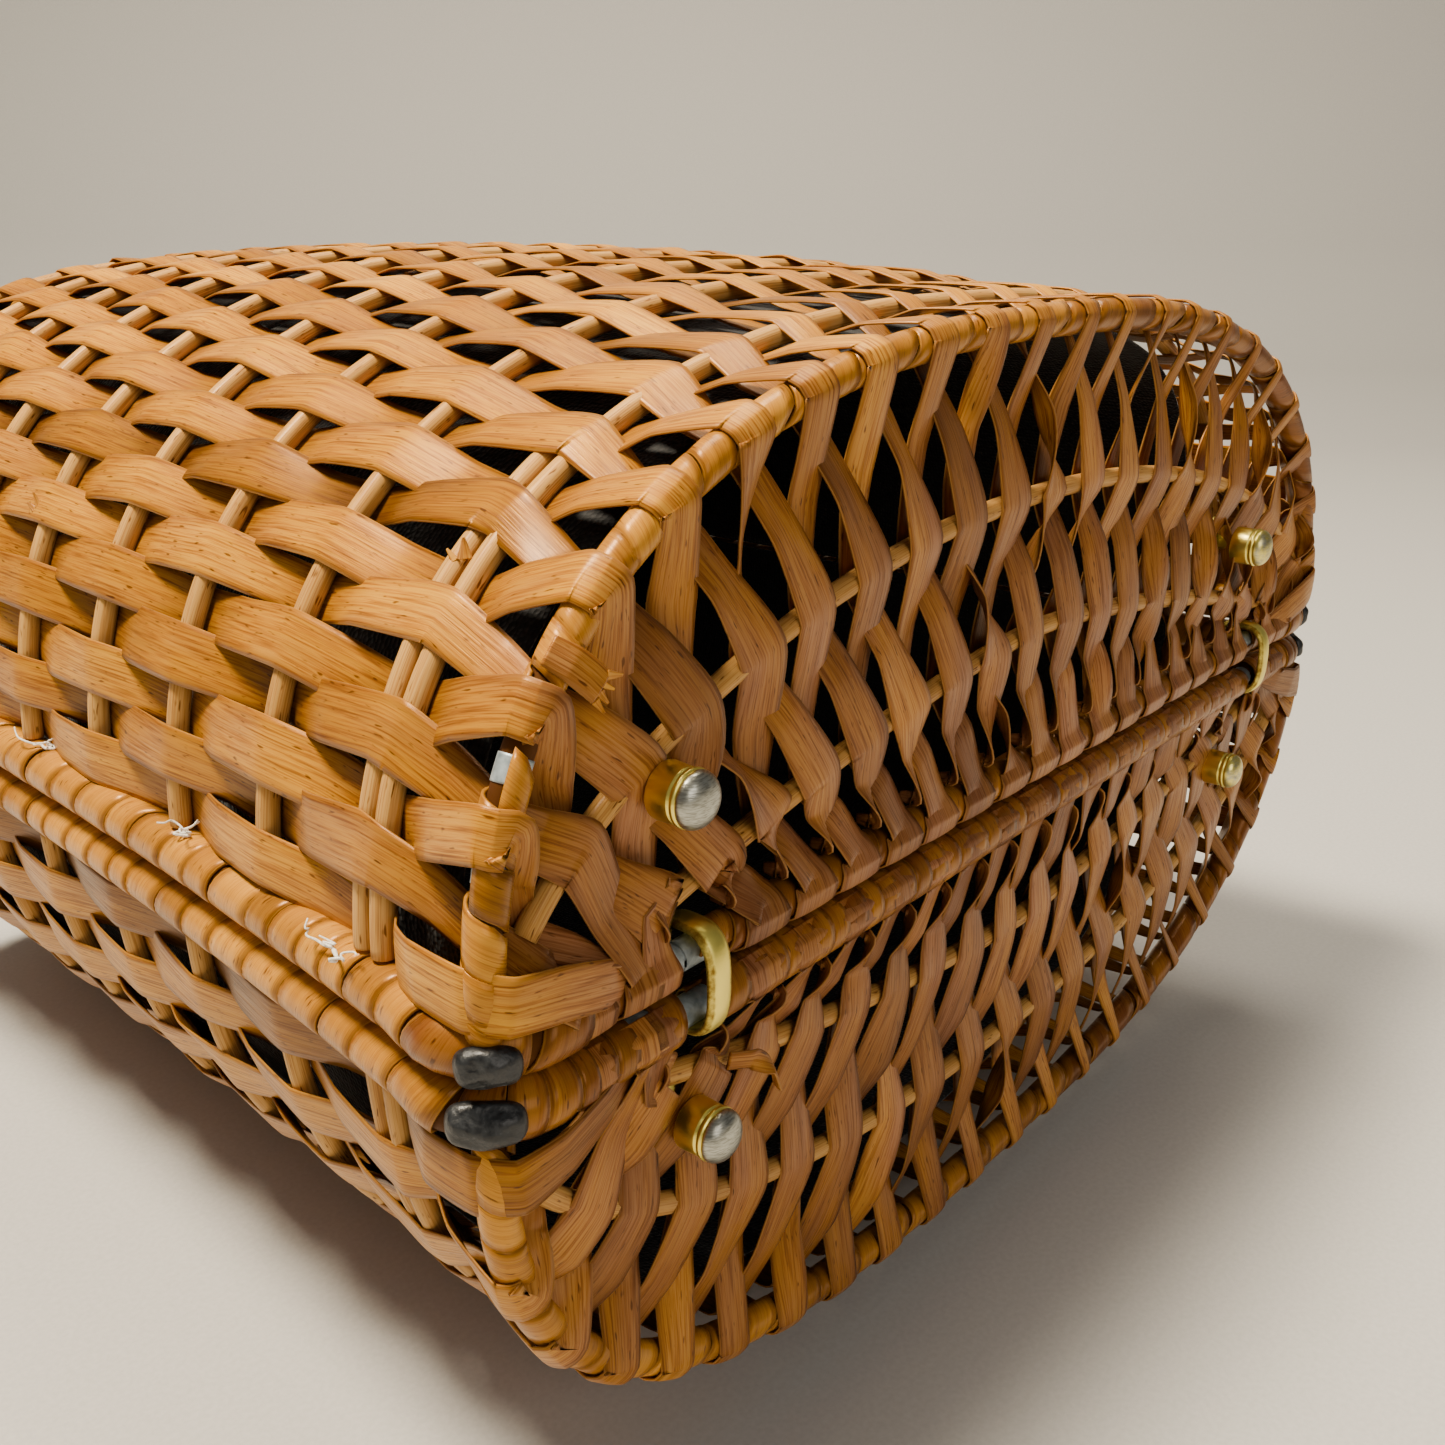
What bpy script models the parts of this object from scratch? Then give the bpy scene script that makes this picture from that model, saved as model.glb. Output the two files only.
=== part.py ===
"""Woven wicker handbag in two hinged halves, lying on the face of its lower half.

Metres, +Z up. The seam between the two halves is level. X runs along the base seam, and +Y runs
from the base, with its brass feet, to the top, with its handles and clasp. The origin is under the
middle of the bag, on the surface it lies on. The upper half turns about the rim of the lower half,
inside the two brass hinge rings.

The bag's own coordinates have their zero in the middle of the base seam. One empty, bag_frame,
carries them to the origin above, and every part is parented to it.
"""
import math

import bmesh
import bpy
import numpy as np
from mathutils import Matrix, Vector

MM = 0.001
GAP = 0.3 * MM                    # clearance between pieces that touch on the real bag

# ---- driving dimensions -------------------------------------------------------------------------
BASE_HALF_LENGTH = 132.0 * MM     # middle of the base to the rim's corner
BASE_HALF_DEPTH = 81.5 * MM       # seam to the crown of the base arch
BASE_LEAN = 0.042                 # how far the base arch leans towards the top, for each unit of depth
ROUNDNESS = 2.65                  # exponent of the arches: 2 is an ellipse, more is boxier
TOP_Y = 262.0 * MM                # base seam to the top rim
TOP_ARCH_HALF_LENGTH = 117.0 * MM
TOP_ARCH_DEPTH = 78.0 * MM
SIDE_TAPER = (-12.2, 2.8)         # millimetres of half length for y and y*y, y in units of 100 mm
BELLY = (10.25, -3.7)             # millimetres of depth for y and y*y, y in units of 100 mm

RIM_RADIUS = 4.4 * MM             # wire with its wrapping
RIM_LIFT = RIM_RADIUS + GAP / 2   # height of each rim's centre from the seam
RIM_BASE_CORNER = 9.0 * MM
RIM_TOP_CORNER = 14.0 * MM
RIM_STRAIGHT_SHARE = 0.92         # share of the base seam on which the rim is quite straight
RIM_SIDE_MARGIN = 45.0 * MM       # the rim's side points keep this far from both corners
ARCH_RADIUS = 2.6 * MM
REED_RADIUS = 1.9 * MM
STAKE_START = 2 * RIM_RADIUS + GAP / 2 + GAP      # stakes, arches and weave start above the rim

HOOP_FIRST = 24.7 * MM            # first hoop, a pair of reeds at its left end
HOOP_STEP = 27.5 * MM
HOOP_COUNT = 9
DOUBLE_STAKE_SPREAD = 2 * REED_RADIUS + GAP
SPLICE_END = math.radians(50)     # the second reed of the first hoop ends here, at the left shoulder

OUTER_ROD_DEPTH = 53.0 * MM       # crown of the reed between the arch and the inner rod
OUTER_ROD_ROUNDNESS = 2.05
OUTER_ROD_REACH = 125.0 * MM
INNER_ROD_DEPTH = 29.0 * MM
INNER_ROD_ROUNDNESS = 1.44
INNER_ROD_REACH = 107.0 * MM
TOP_ROD_SCALE = 0.93              # the rods of the top face against those of the base

WEAVE_OFFSET = 3.5 * MM           # stakes' middle surface to the weave's middle surface
WEAVE_THICKNESS = 1.2 * MM
WEAVE_CORNER = 3.0 * MM           # where the weave turns over the base arch
WEAVE_CORNER_CUT = 0.29 * WEAVE_CORNER            # a quarter round's middle, from its corner
WEAVE_TOP_MARGIN = 9.0 * MM       # the last row of the body, before the top face
WEAVE_ROW_COUNT = 11
LINING_OFFSET = 3.2 * MM
LINING_THICKNESS = 1.0 * MM
LINING_START_NEAR = 12.0 * MM     # the lining stops short of the base, further at the +X side
LINING_START_FAR = 37.0 * MM
LINING_ROWS = (60.0 * MM, 110.0 * MM, 160.0 * MM, 210.0 * MM)

FEET_X = {"upper": (-102.0 * MM, 83.0 * MM), "lower": (-97.0 * MM, 83.5 * MM)}
FEET_DEPTH = {"upper": 30.0 * MM, "lower": 22.0 * MM}
FOOT_RADIUS = 4.0 * MM
FOOT_TOP_Y = -1.0 * MM            # a foot's collar stands close to the reeds, inside the weave
FOOT_TIP_Y = -8.5 * MM
FOOT_TIP_RADIUS = 1.5 * MM        # the flat that each foot stands on
FOOT_DOME = 2.4 * MM
FOOT_GROOVE = (1.2 * MM, 0.9 * MM, 0.5 * MM)      # the ring groove's upper edge, floor and lower edge
FOOT_GROOVE_DEPTH = 0.5 * MM
FOOT_DOME_STEP = 0.1 * MM
STUD_RADIUS = 1.5 * MM
STUD_END_Y = 5.6 * MM
WASHER_RADIUS = 5.5 * MM
WASHER_THICKNESS = 1.0 * MM

HINGE_RING_X = 96.5 * MM
HINGE_RING_WIRE = 1.4 * MM
HINGE_NOTCH_WIDTH = 4.6 * MM
HINGE_NOTCH_TOP = 13.6 * MM

PATCH_THICKNESS = 1.0 * MM
PATCH_ARC = (math.radians(-38), math.radians(44))      # round the wrapped rim
PATCH_TURN = (math.radians(8), math.radians(64))       # round the bag's corner

HANDLE_HALF_SPAN = 48.0 * MM
HANDLE_HEIGHT = 60.0 * MM
HANDLE_RADIUS = 3.8 * MM
HANDLE_ROUNDNESS = 2.4

CLASP_BALL_RADIUS = 3.2 * MM
CLASP_SIDE = 3.9 * MM             # each arm stands this far to its side of the middle
CLASP_ARM_RADIUS = 1.3 * MM
CLASP_PLATE = (9.0 * MM, 1.2 * MM, 5.6 * MM)
CLASP_PLATE_SIDE = 1.5 * CLASP_SIDE               # the plate's middle, from the bag's middle
CLASP_SINK = 0.4 * MM             # how far the arm's foot stands in its plate
CLASP_RISE = 8.0 * MM
CLASP_PASS = 1.0 * MM             # how far each ball passes the seam

HALVES = {"upper": 1, "lower": -1}
SIDES = {"left": -1, "right": 1}

HANDLE_FOOT_Y = TOP_Y + RIM_RADIUS + GAP
Y_MIN = FOOT_TIP_Y
Y_MAX = HANDLE_FOOT_Y + HANDLE_HEIGHT + HANDLE_RADIUS


# ---- the bag's form -----------------------------------------------------------------------------
def half_length(y):
    """Half length of the bag at depth y from the base."""
    t = y / (100 * MM)
    return BASE_HALF_LENGTH + (SIDE_TAPER[0] * t + SIDE_TAPER[1] * t * t) * MM


def half_depth(y):
    """Depth of one half at y: a slow belly between the base and the top."""
    t = y / (100 * MM)
    return BASE_HALF_DEPTH + (BELLY[0] * t + BELLY[1] * t * t) * MM


def arch_angles(depth, roundness, start, count):
    """Angles that carry an arch from height start on one side over to the same height."""
    first = math.asin((start / depth) ** (roundness / 2))
    return np.linspace(first, math.pi - first, count)


def arch_point(angle, length, depth, roundness):
    """A point of a superellipse arch, as its x and z."""
    c, s = math.cos(angle), math.sin(angle)
    x = -length * math.copysign(abs(c) ** (2 / roundness), c)
    return x, depth * abs(s) ** (2 / roundness)


def arch_path(y, length, depth, roundness=ROUNDNESS, start=STAKE_START, count=15, lean=0.0, end=None):
    """Points of one arch, from the left rim over to the right rim, or to an angle before it."""
    angles = arch_angles(depth, roundness, start, count)
    if end is not None:
        angles = np.linspace(angles[0], end, count)
    points = []
    for angle in angles:
        x, z = arch_point(angle, length, depth, roundness)
        points.append((x, y + lean * z, z))
    return points


def hoop_positions():
    """Distances of the hoops from the base. The first one has a second, shorter reed spliced beside it."""
    first = [HOOP_FIRST - DOUBLE_STAKE_SPREAD / 2, HOOP_FIRST + DOUBLE_STAKE_SPREAD / 2]
    rest = [HOOP_FIRST + HOOP_STEP * i for i in range(1, HOOP_COUNT)]
    names = ["stake_1a", "stake_1b"] + [f"stake_{i + 1}" for i in range(1, HOOP_COUNT)]
    return list(zip(names, first + rest))


def weave_rows():
    """Distances from the base at which the body of the weave has a row of points."""
    return list(np.linspace(WEAVE_CORNER - WEAVE_OFFSET, TOP_Y - WEAVE_TOP_MARGIN, WEAVE_ROW_COUNT))


def shell_profile(angle, offset, rows, base_y, top_y, closed_base):
    """One line of a half's shell: over the base, along the body and down the top face."""
    points = []
    if closed_base:
        x, z_arch = arch_point(angle, half_length(0) + offset, half_depth(0) + offset, ROUNDNESS)
        reach = max(z_arch - WEAVE_CORNER, STAKE_START)
        for share in (0.0, 0.34, 0.67, 1.0):
            z = STAKE_START + (reach - STAKE_START) * share
            points.append((x, base_y + BASE_LEAN * z, z))
        z = max(z_arch - WEAVE_CORNER_CUT, STAKE_START)
        points.append((x, base_y + WEAVE_CORNER_CUT + BASE_LEAN * z, z))
    for y in rows:
        lean = BASE_LEAN if closed_base and y == rows[0] else 0.0
        x, z = arch_point(angle, half_length(y) + offset, half_depth(y) + offset, ROUNDNESS)
        z = max(z, STAKE_START)
        points.append((x, y + lean * z, z))
    x, z_arch = arch_point(angle, TOP_ARCH_HALF_LENGTH + offset, TOP_ARCH_DEPTH + offset, ROUNDNESS)
    for share in (1.0, 0.5, 0.0):
        z = STAKE_START + max(z_arch - STAKE_START, 0) * share
        points.append((x, top_y, z))
    return points


SEAM_HEIGHT = max(half_depth(y) for y in weave_rows()) + WEAVE_OFFSET + WEAVE_THICKNESS / 2


# ---- helpers ------------------------------------------------------------------------------------
def material(name, colour, roughness, metallic=0.0):
    """A plain Principled material."""
    mat = bpy.data.materials.get(name)
    if mat is None:
        mat = bpy.data.materials.new(name)
        mat.use_nodes = True
        shader = mat.node_tree.nodes["Principled BSDF"]
        shader.inputs["Base Color"].default_value = (*colour, 1.0)
        shader.inputs["Roughness"].default_value = roughness
        shader.inputs["Metallic"].default_value = metallic
    return mat


def add_part(obj, mat):
    """Put a finished piece in the bag's collection, under the bag's frame, with its own material."""
    own = mat.copy()
    own.name = f"{obj.name}_{mat.name}"
    obj.data.materials.clear()
    obj.data.materials.append(own)
    for collection in list(obj.users_collection):
        collection.objects.unlink(obj)
    PARTS.objects.link(obj)
    obj.parent = FRAME
    return obj


def mesh_object(name, bm):
    """An object made from a bmesh, with its faces turned outwards."""
    mesh = bpy.data.meshes.new(name)
    bm.to_mesh(mesh)
    bm.free()
    obj = bpy.data.objects.new(name, mesh)
    bpy.context.scene.collection.objects.link(obj)
    return obj


def tube(name, points, radius, mat, closed=False, resolution=1):
    """A wire or reed along a list of points."""
    curve = bpy.data.curves.new(name, "CURVE")
    curve.dimensions = "3D"
    spline = curve.splines.new("POLY")
    spline.points.add(len(points) - 1)
    for point, place in zip(spline.points, points):
        point.co = (*place, 1.0)
    spline.use_cyclic_u = closed
    curve.bevel_depth = radius
    curve.bevel_resolution = resolution
    curve.use_fill_caps = not closed
    obj = bpy.data.objects.new(name, curve)
    return add_part(obj, mat)


def grid_surface(name, lines):
    """An open surface through equal lists of points, with its doubled points merged."""
    bm = bmesh.new()
    rows = [[bm.verts.new(p) for p in line] for line in lines]
    for a, b in zip(rows, rows[1:]):
        for i in range(len(a) - 1):
            bm.faces.new((a[i], b[i], b[i + 1], a[i + 1]))
    bmesh.ops.remove_doubles(bm, verts=bm.verts, dist=0.00005)
    bmesh.ops.dissolve_degenerate(bm, edges=bm.edges, dist=0.00001)
    bmesh.ops.recalc_face_normals(bm, faces=bm.faces)
    return mesh_object(name, bm)


def solidify(obj, thickness, offset=0.0):
    """Give an open surface its wall."""
    mod = obj.modifiers.new("wall", "SOLIDIFY")
    mod.thickness = thickness
    mod.offset = offset
    mod.use_even_offset = True


def boolean(obj, cutter, operation):
    """Cut or join with the exact solver."""
    mod = obj.modifiers.new(operation.lower(), "BOOLEAN")
    mod.operation = operation
    mod.solver = "EXACT"
    mod.object = cutter


def box(name, size, centre):
    """A box of the given size."""
    bm = bmesh.new()
    bmesh.ops.create_cube(bm, size=1.0, matrix=Matrix.Translation(centre) @ Matrix.Diagonal((*size, 1.0)))
    return mesh_object(name, bm)


def cylinder(name, radius, start, end, sides=16):
    """A closed cylinder between two points."""
    start, end = Vector(start), Vector(end)
    axis = end - start
    turn = axis.to_track_quat("Z", "Y").to_matrix().to_4x4()
    bm = bmesh.new()
    bmesh.ops.create_cone(bm, cap_ends=True, segments=sides, radius1=radius, radius2=radius,
                          depth=axis.length, matrix=Matrix.Translation((start + end) / 2) @ turn)
    return mesh_object(name, bm)


def as_cutter(obj):
    """Keep a guide solid out of the bag."""
    for collection in list(obj.users_collection):
        collection.objects.unlink(obj)
    CUTTERS.objects.link(obj)
    obj.hide_render = True
    obj.display_type = "WIRE"
    obj.parent = FRAME
    return obj


def smooth(obj, angle=35):
    """Shade a round piece smooth."""
    obj.data.shade_smooth()
    obj.data.set_sharp_from_angle(angle=math.radians(angle))


def mirrored(points, side):
    """The same points on the upper (1) or the lower (-1) half."""
    return [(x, y, z * side) for x, y, z in points]


# ---- frame of each half -------------------------------------------------------------------------
def rim_path():
    """The wrapped wire rim of one half, a closed loop in its own plane."""
    points = []
    for x in np.linspace(-RIM_STRAIGHT_SHARE, RIM_STRAIGHT_SHARE, 5):
        points.append((x * BASE_HALF_LENGTH, 0.0))
    centre_x = BASE_HALF_LENGTH - RIM_BASE_CORNER
    for a in np.linspace(-90, 0, 4):
        a = math.radians(a)
        points.append((centre_x + RIM_BASE_CORNER * math.cos(a), RIM_BASE_CORNER * (1 + math.sin(a))))
    for y in np.linspace(RIM_SIDE_MARGIN, TOP_Y - RIM_SIDE_MARGIN, 4):
        points.append((half_length(y), y))
    top_length = half_length(TOP_Y - RIM_TOP_CORNER)
    centre = (top_length - RIM_TOP_CORNER, TOP_Y - RIM_TOP_CORNER)
    for a in np.linspace(0, 90, 4):
        a = math.radians(a)
        points.append((centre[0] + RIM_TOP_CORNER * math.cos(a), centre[1] + RIM_TOP_CORNER * math.sin(a)))
    right = points[2:]
    left = [(-x, y) for x, y in reversed(right)]
    return right + left[:-1]


def make_rims():
    """Rims, arches, stakes and rods: everything that the strips are woven on."""
    for half, side in HALVES.items():
        rim = [(x, y, side * RIM_LIFT) for x, y in rim_path()]
        tube(f"{half}_rim", rim, RIM_RADIUS, WRAP, closed=True, resolution=2)
        arch = arch_path(0.0, BASE_HALF_LENGTH, BASE_HALF_DEPTH, count=21, lean=BASE_LEAN)
        tube(f"{half}_base_arch", mirrored(arch, side), ARCH_RADIUS, WRAP)
        arch = arch_path(TOP_Y, TOP_ARCH_HALF_LENGTH, TOP_ARCH_DEPTH, count=17)
        tube(f"{half}_top_arch", mirrored(arch, side), ARCH_RADIUS, WRAP)
        for name, y in hoop_positions():
            spliced = name == "stake_1b"
            hoop = arch_path(y, half_length(y), half_depth(y), count=7 if spliced else 15,
                             end=SPLICE_END if spliced else None)
            tube(f"{half}_{name}", mirrored(hoop, side), REED_RADIUS, REED)


def rod_path(y, length, depth, roundness, reach, lean):
    """A reed that bows across the base or the top face, within reach of the middle."""
    points = []
    for x in np.linspace(-reach, reach, 11):
        z = depth * (1 - abs(x / length) ** roundness) ** (1 / roundness)
        points.append((x, y + lean * z, z))
    return points


def make_rods():
    """Two reeds across each half of the base, and two across each half of the top."""
    rods = {"outer": (OUTER_ROD_DEPTH, OUTER_ROD_ROUNDNESS, OUTER_ROD_REACH),
            "inner": (INNER_ROD_DEPTH, INNER_ROD_ROUNDNESS, INNER_ROD_REACH)}
    for half, side in HALVES.items():
        for name, (depth, roundness, reach) in rods.items():
            path = rod_path(0.0, BASE_HALF_LENGTH, depth, roundness, reach, BASE_LEAN)
            tube(f"{half}_base_rod_{name}", mirrored(path, side), REED_RADIUS, REED)
            scale = TOP_ROD_SCALE
            path = rod_path(TOP_Y, TOP_ARCH_HALF_LENGTH, depth * scale, roundness,
                            reach * TOP_ARCH_HALF_LENGTH / BASE_HALF_LENGTH - 3 * MM, 0.0)
            tube(f"{half}_top_rod_{name}", mirrored(path, side), REED_RADIUS, REED)


# ---- woven skin and lining ----------------------------------------------------------------------
def make_weaves():
    """The woven strips of each half, as one dished wall with holes for its feet and rings."""
    angles = arch_angles(half_depth(0) + WEAVE_OFFSET, ROUNDNESS, STAKE_START, 19)
    for half, side in HALVES.items():
        lines = []
        for angle in angles:
            line = shell_profile(angle, WEAVE_OFFSET, weave_rows(), -WEAVE_OFFSET,
                                 TOP_Y + WEAVE_OFFSET, True)
            lines.append(mirrored(line, side))
        obj = grid_surface(f"{half}_weave", lines)
        solidify(obj, WEAVE_THICKNESS)
        for i, x in enumerate(FEET_X[half]):
            z = side * FEET_DEPTH[half]
            reach = WEAVE_OFFSET + FOOT_RADIUS
            hole = cylinder(f"{half}_foot_hole_{i}", FOOT_RADIUS + GAP, (x, -reach, z), (x, 0.0, z), 16)
            boolean(obj, as_cutter(hole), "DIFFERENCE")
        for name, sign in SIDES.items():
            height = HINGE_NOTCH_TOP - RIM_LIFT
            centre = (sign * HINGE_RING_X, -WEAVE_OFFSET, side * (HINGE_NOTCH_TOP - height / 2))
            notch = box(f"{half}_ring_notch_{name}", (HINGE_NOTCH_WIDTH, 2 * WEAVE_CORNER, height), centre)
            boolean(obj, as_cutter(notch), "DIFFERENCE")
        add_part(obj, WEAVE)


def make_linings():
    """Black cloth inside each half: over the body and the top face, open towards the base."""
    rows = [*LINING_ROWS, TOP_Y - WEAVE_TOP_MARGIN]
    angles = arch_angles(half_depth(0) - LINING_OFFSET, ROUNDNESS, STAKE_START, 15)
    for half, side in HALVES.items():
        lines = []
        for i, angle in enumerate(angles):
            share = i / (len(angles) - 1)
            start = LINING_START_NEAR + (LINING_START_FAR - LINING_START_NEAR) * share ** 2
            line = shell_profile(angle, -LINING_OFFSET, [start] + rows, 0.0, TOP_Y - LINING_OFFSET, False)
            lines.append(mirrored(line, side))
        obj = grid_surface(f"{half}_lining", lines)
        solidify(obj, LINING_THICKNESS)
        add_part(obj, CLOTH)


# ---- brass and leather --------------------------------------------------------------------------
def foot_profile():
    """Radius and distance from the weave of a foot: collar, groove, barrel and worn dome."""
    top = FOOT_TOP_Y
    dome = FOOT_TIP_Y + FOOT_DOME
    dome_radius = FOOT_RADIUS - FOOT_DOME_STEP
    groove_top, groove_floor, groove_bottom = (dome + edge for edge in FOOT_GROOVE)
    profile = [(0.0, STUD_END_Y), (STUD_RADIUS, STUD_END_Y), (STUD_RADIUS, top), (FOOT_RADIUS, top),
               (FOOT_RADIUS, groove_top), (FOOT_RADIUS - FOOT_GROOVE_DEPTH, groove_floor),
               (dome_radius, groove_bottom)]
    last = math.acos(FOOT_TIP_RADIUS / dome_radius)
    for share in (0.3, 0.6, 0.85):
        angle = share * last
        profile.append((dome_radius * math.cos(angle), dome - FOOT_DOME * math.sin(angle) / math.sin(last)))
    profile.append((FOOT_TIP_RADIUS, FOOT_TIP_Y))
    profile.append((0.0, FOOT_TIP_Y))
    return profile


def turned(name, profile, sides):
    """A profile of radius and y, turned about the Y axis with the Screw modifier."""
    bm = bmesh.new()
    verts = [bm.verts.new((radius, y, 0.0)) for radius, y in profile]
    for a, b in zip(verts, verts[1:]):
        bm.edges.new((a, b))
    obj = mesh_object(name, bm)
    mod = obj.modifiers.new("turn", "SCREW")
    mod.axis = "Y"
    mod.steps = sides
    mod.render_steps = sides
    mod.use_merge_vertices = True
    mod.merge_threshold = 0.00002
    return obj


def make_feet():
    """Four turned brass feet, with the washer that holds each one from the inside."""
    washer_y = REED_RADIUS + 2 * GAP + BASE_LEAN * FEET_DEPTH["upper"]
    washer = [(STUD_RADIUS + GAP, washer_y + WASHER_THICKNESS), (WASHER_RADIUS, washer_y + WASHER_THICKNESS),
              (WASHER_RADIUS, washer_y), (STUD_RADIUS + GAP, washer_y),
              (STUD_RADIUS + GAP, washer_y + WASHER_THICKNESS)]
    for half, side in HALVES.items():
        for name, x in zip(SIDES, FEET_X[half]):
            foot = turned(f"{half}_foot_{name}", foot_profile(), 16)
            foot.location = (x, 0.0, side * FEET_DEPTH[half])
            add_part(foot, BRASS)
            ring = turned(f"{half}_foot_washer_{name}", washer, 14)
            ring.location = (x, 0.0, side * FEET_DEPTH[half])
            add_part(ring, BRASS)


def make_hinge_rings():
    """Two brass rings round both rims at the base seam. They turn with the upper half."""
    radius = RIM_RADIUS + GAP + HINGE_RING_WIRE
    for name, sign in SIDES.items():
        points = []
        for centre, first in ((RIM_LIFT, 0), (-RIM_LIFT, 180)):
            for a in np.linspace(first, first + 180, 9):
                a = math.radians(a)
                points.append((sign * HINGE_RING_X, radius * math.cos(a), centre + radius * math.sin(a)))
        tube(f"hinge_ring_{name}", points, HINGE_RING_WIRE, BRASS, closed=True, resolution=2)


def make_patches():
    """Black leather over the corners of the rims, at both ends of the base seam."""
    middle = RIM_RADIUS + GAP + PATCH_THICKNESS / 2
    centre_x = BASE_HALF_LENGTH - RIM_BASE_CORNER
    for half, side in HALVES.items():
        for name, sign in SIDES.items():
            lines = []
            for turn in np.linspace(*PATCH_TURN, 6):
                out = Vector((math.cos(turn), -math.sin(turn)))
                line = []
                for lift in np.linspace(*PATCH_ARC, 6):
                    reach = RIM_BASE_CORNER + middle * math.cos(lift)
                    x = sign * (centre_x + out.x * reach)
                    y = RIM_BASE_CORNER + out.y * reach
                    line.append((x, y, side * (RIM_LIFT + middle * math.sin(lift))))
                lines.append(line)
            obj = grid_surface(f"{half}_corner_patch_{name}", lines)
            solidify(obj, PATCH_THICKNESS)
            add_part(obj, LEATHER)


# ---- top of the bag -----------------------------------------------------------------------------
def make_handles():
    """A wrapped wire handle on the top rim of each half."""
    for half, side in HALVES.items():
        points = []
        for angle in np.linspace(0, math.pi, 17):
            x, rise = arch_point(angle, HANDLE_HALF_SPAN, HANDLE_HEIGHT, HANDLE_ROUNDNESS)
            points.append((x, HANDLE_FOOT_Y + rise, side * RIM_LIFT))
        tube(f"{half}_handle", points, HANDLE_RADIUS, WRAP, resolution=2)


def make_clasp():
    """Two ball arms that pass each other across the seam, each on a plate on its rim."""
    for half, side in HALVES.items():
        x = -side * CLASP_SIDE
        plate_y = HANDLE_FOOT_Y + CLASP_PLATE[1] / 2
        plate_x = -side * CLASP_PLATE_SIDE
        arm = box(f"{half}_clasp_arm", CLASP_PLATE, (plate_x, plate_y, side * (RIM_LIFT + CLASP_SINK)))
        root = Vector((x, HANDLE_FOOT_Y + CLASP_SINK, side * RIM_LIFT))
        tip = Vector((x, HANDLE_FOOT_Y + CLASP_RISE, -side * CLASP_PASS))
        post = cylinder(f"{half}_clasp_post", CLASP_ARM_RADIUS, root, tip, 10)
        bm = bmesh.new()
        bmesh.ops.create_uvsphere(bm, u_segments=12, v_segments=8, radius=CLASP_BALL_RADIUS,
                                  matrix=Matrix.Translation(tip))
        ball = mesh_object(f"{half}_clasp_ball", bm)
        boolean(arm, as_cutter(post), "UNION")
        boolean(arm, as_cutter(ball), "UNION")
        add_part(arm, BRASS)


def hang_upper_half():
    """The lid's turning axis, along the middle of the lower rim at the base."""
    pivot = bpy.data.objects.new("upper_half_axis", None)
    pivot.location = (0.0, 0.0, -RIM_LIFT)
    pivot.parent = FRAME
    bpy.context.scene.collection.objects.link(pivot)
    moving = [o for o in PARTS.objects if o.name.startswith(("upper_", "hinge_ring"))]
    for obj in moving:
        obj.parent = pivot
        obj.location.z += RIM_LIFT


for old in list(bpy.data.objects):
    bpy.data.objects.remove(old, do_unlink=True)
PARTS = bpy.data.collections.new("wicker_handbag")
CUTTERS = bpy.data.collections.new("cutters")
bpy.context.scene.collection.children.link(PARTS)
bpy.context.scene.collection.children.link(CUTTERS)
FRAME = bpy.data.objects.new("bag_frame", None)
FRAME.location = (0.0, -(Y_MIN + Y_MAX) / 2, SEAM_HEIGHT)
bpy.context.scene.collection.objects.link(FRAME)

REED = material("peeled_reed", (0.56, 0.36, 0.16), 0.55)
WRAP = material("wrapped_skein", (0.50, 0.27, 0.09), 0.45)
WEAVE = material("woven_strips", (0.42, 0.20, 0.07), 0.5)
CLOTH = material("black_lining_cloth", (0.010, 0.010, 0.011), 0.9)
LEATHER = material("black_leather", (0.015, 0.016, 0.018), 0.45)
BRASS = material("polished_brass", (0.80, 0.62, 0.20), 0.25, 1.0)

make_rims()
make_rods()
make_weaves()
make_linings()
make_feet()
make_hinge_rings()
make_patches()
make_handles()
make_clasp()
hang_upper_half()
for piece in PARTS.objects:
    if piece.type == "MESH":
        smooth(piece)
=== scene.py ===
"""Looks of a woven wicker handbag in two hinged halves, lying on the face of its lower half.

The frame gives every solid part of the bag. This script weaves the split-cane strips over its reeds,
winds skein round its wires, and turns, dyes and polishes the rest. Lengths are millimetres in the
bag's own frame, whose zero is the middle of the base seam, +Y towards the handles and +Z towards the
upper half, until Placement carries a finished surface to the frame in metres.
"""

import logging
import math
from dataclasses import dataclass, field
from enum import Enum

import bpy
import numpy as np
from mathutils import Matrix, Vector


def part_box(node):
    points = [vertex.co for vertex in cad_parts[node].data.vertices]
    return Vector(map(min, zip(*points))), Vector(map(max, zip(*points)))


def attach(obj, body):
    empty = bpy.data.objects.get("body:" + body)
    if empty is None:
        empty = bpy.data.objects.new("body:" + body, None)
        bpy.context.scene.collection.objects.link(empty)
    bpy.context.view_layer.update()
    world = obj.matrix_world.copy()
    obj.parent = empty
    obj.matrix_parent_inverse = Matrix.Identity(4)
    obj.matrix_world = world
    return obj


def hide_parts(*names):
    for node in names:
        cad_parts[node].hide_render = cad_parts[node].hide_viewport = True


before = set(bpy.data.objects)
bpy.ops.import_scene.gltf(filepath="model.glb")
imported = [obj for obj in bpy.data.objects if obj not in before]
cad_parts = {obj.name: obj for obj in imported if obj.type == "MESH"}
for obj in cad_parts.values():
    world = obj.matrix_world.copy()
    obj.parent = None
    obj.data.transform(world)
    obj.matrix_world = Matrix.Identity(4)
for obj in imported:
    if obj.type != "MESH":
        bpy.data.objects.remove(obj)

MM = 0.001
LOG = logging.getLogger("wicker_handbag")
Array = np.ndarray


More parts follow.
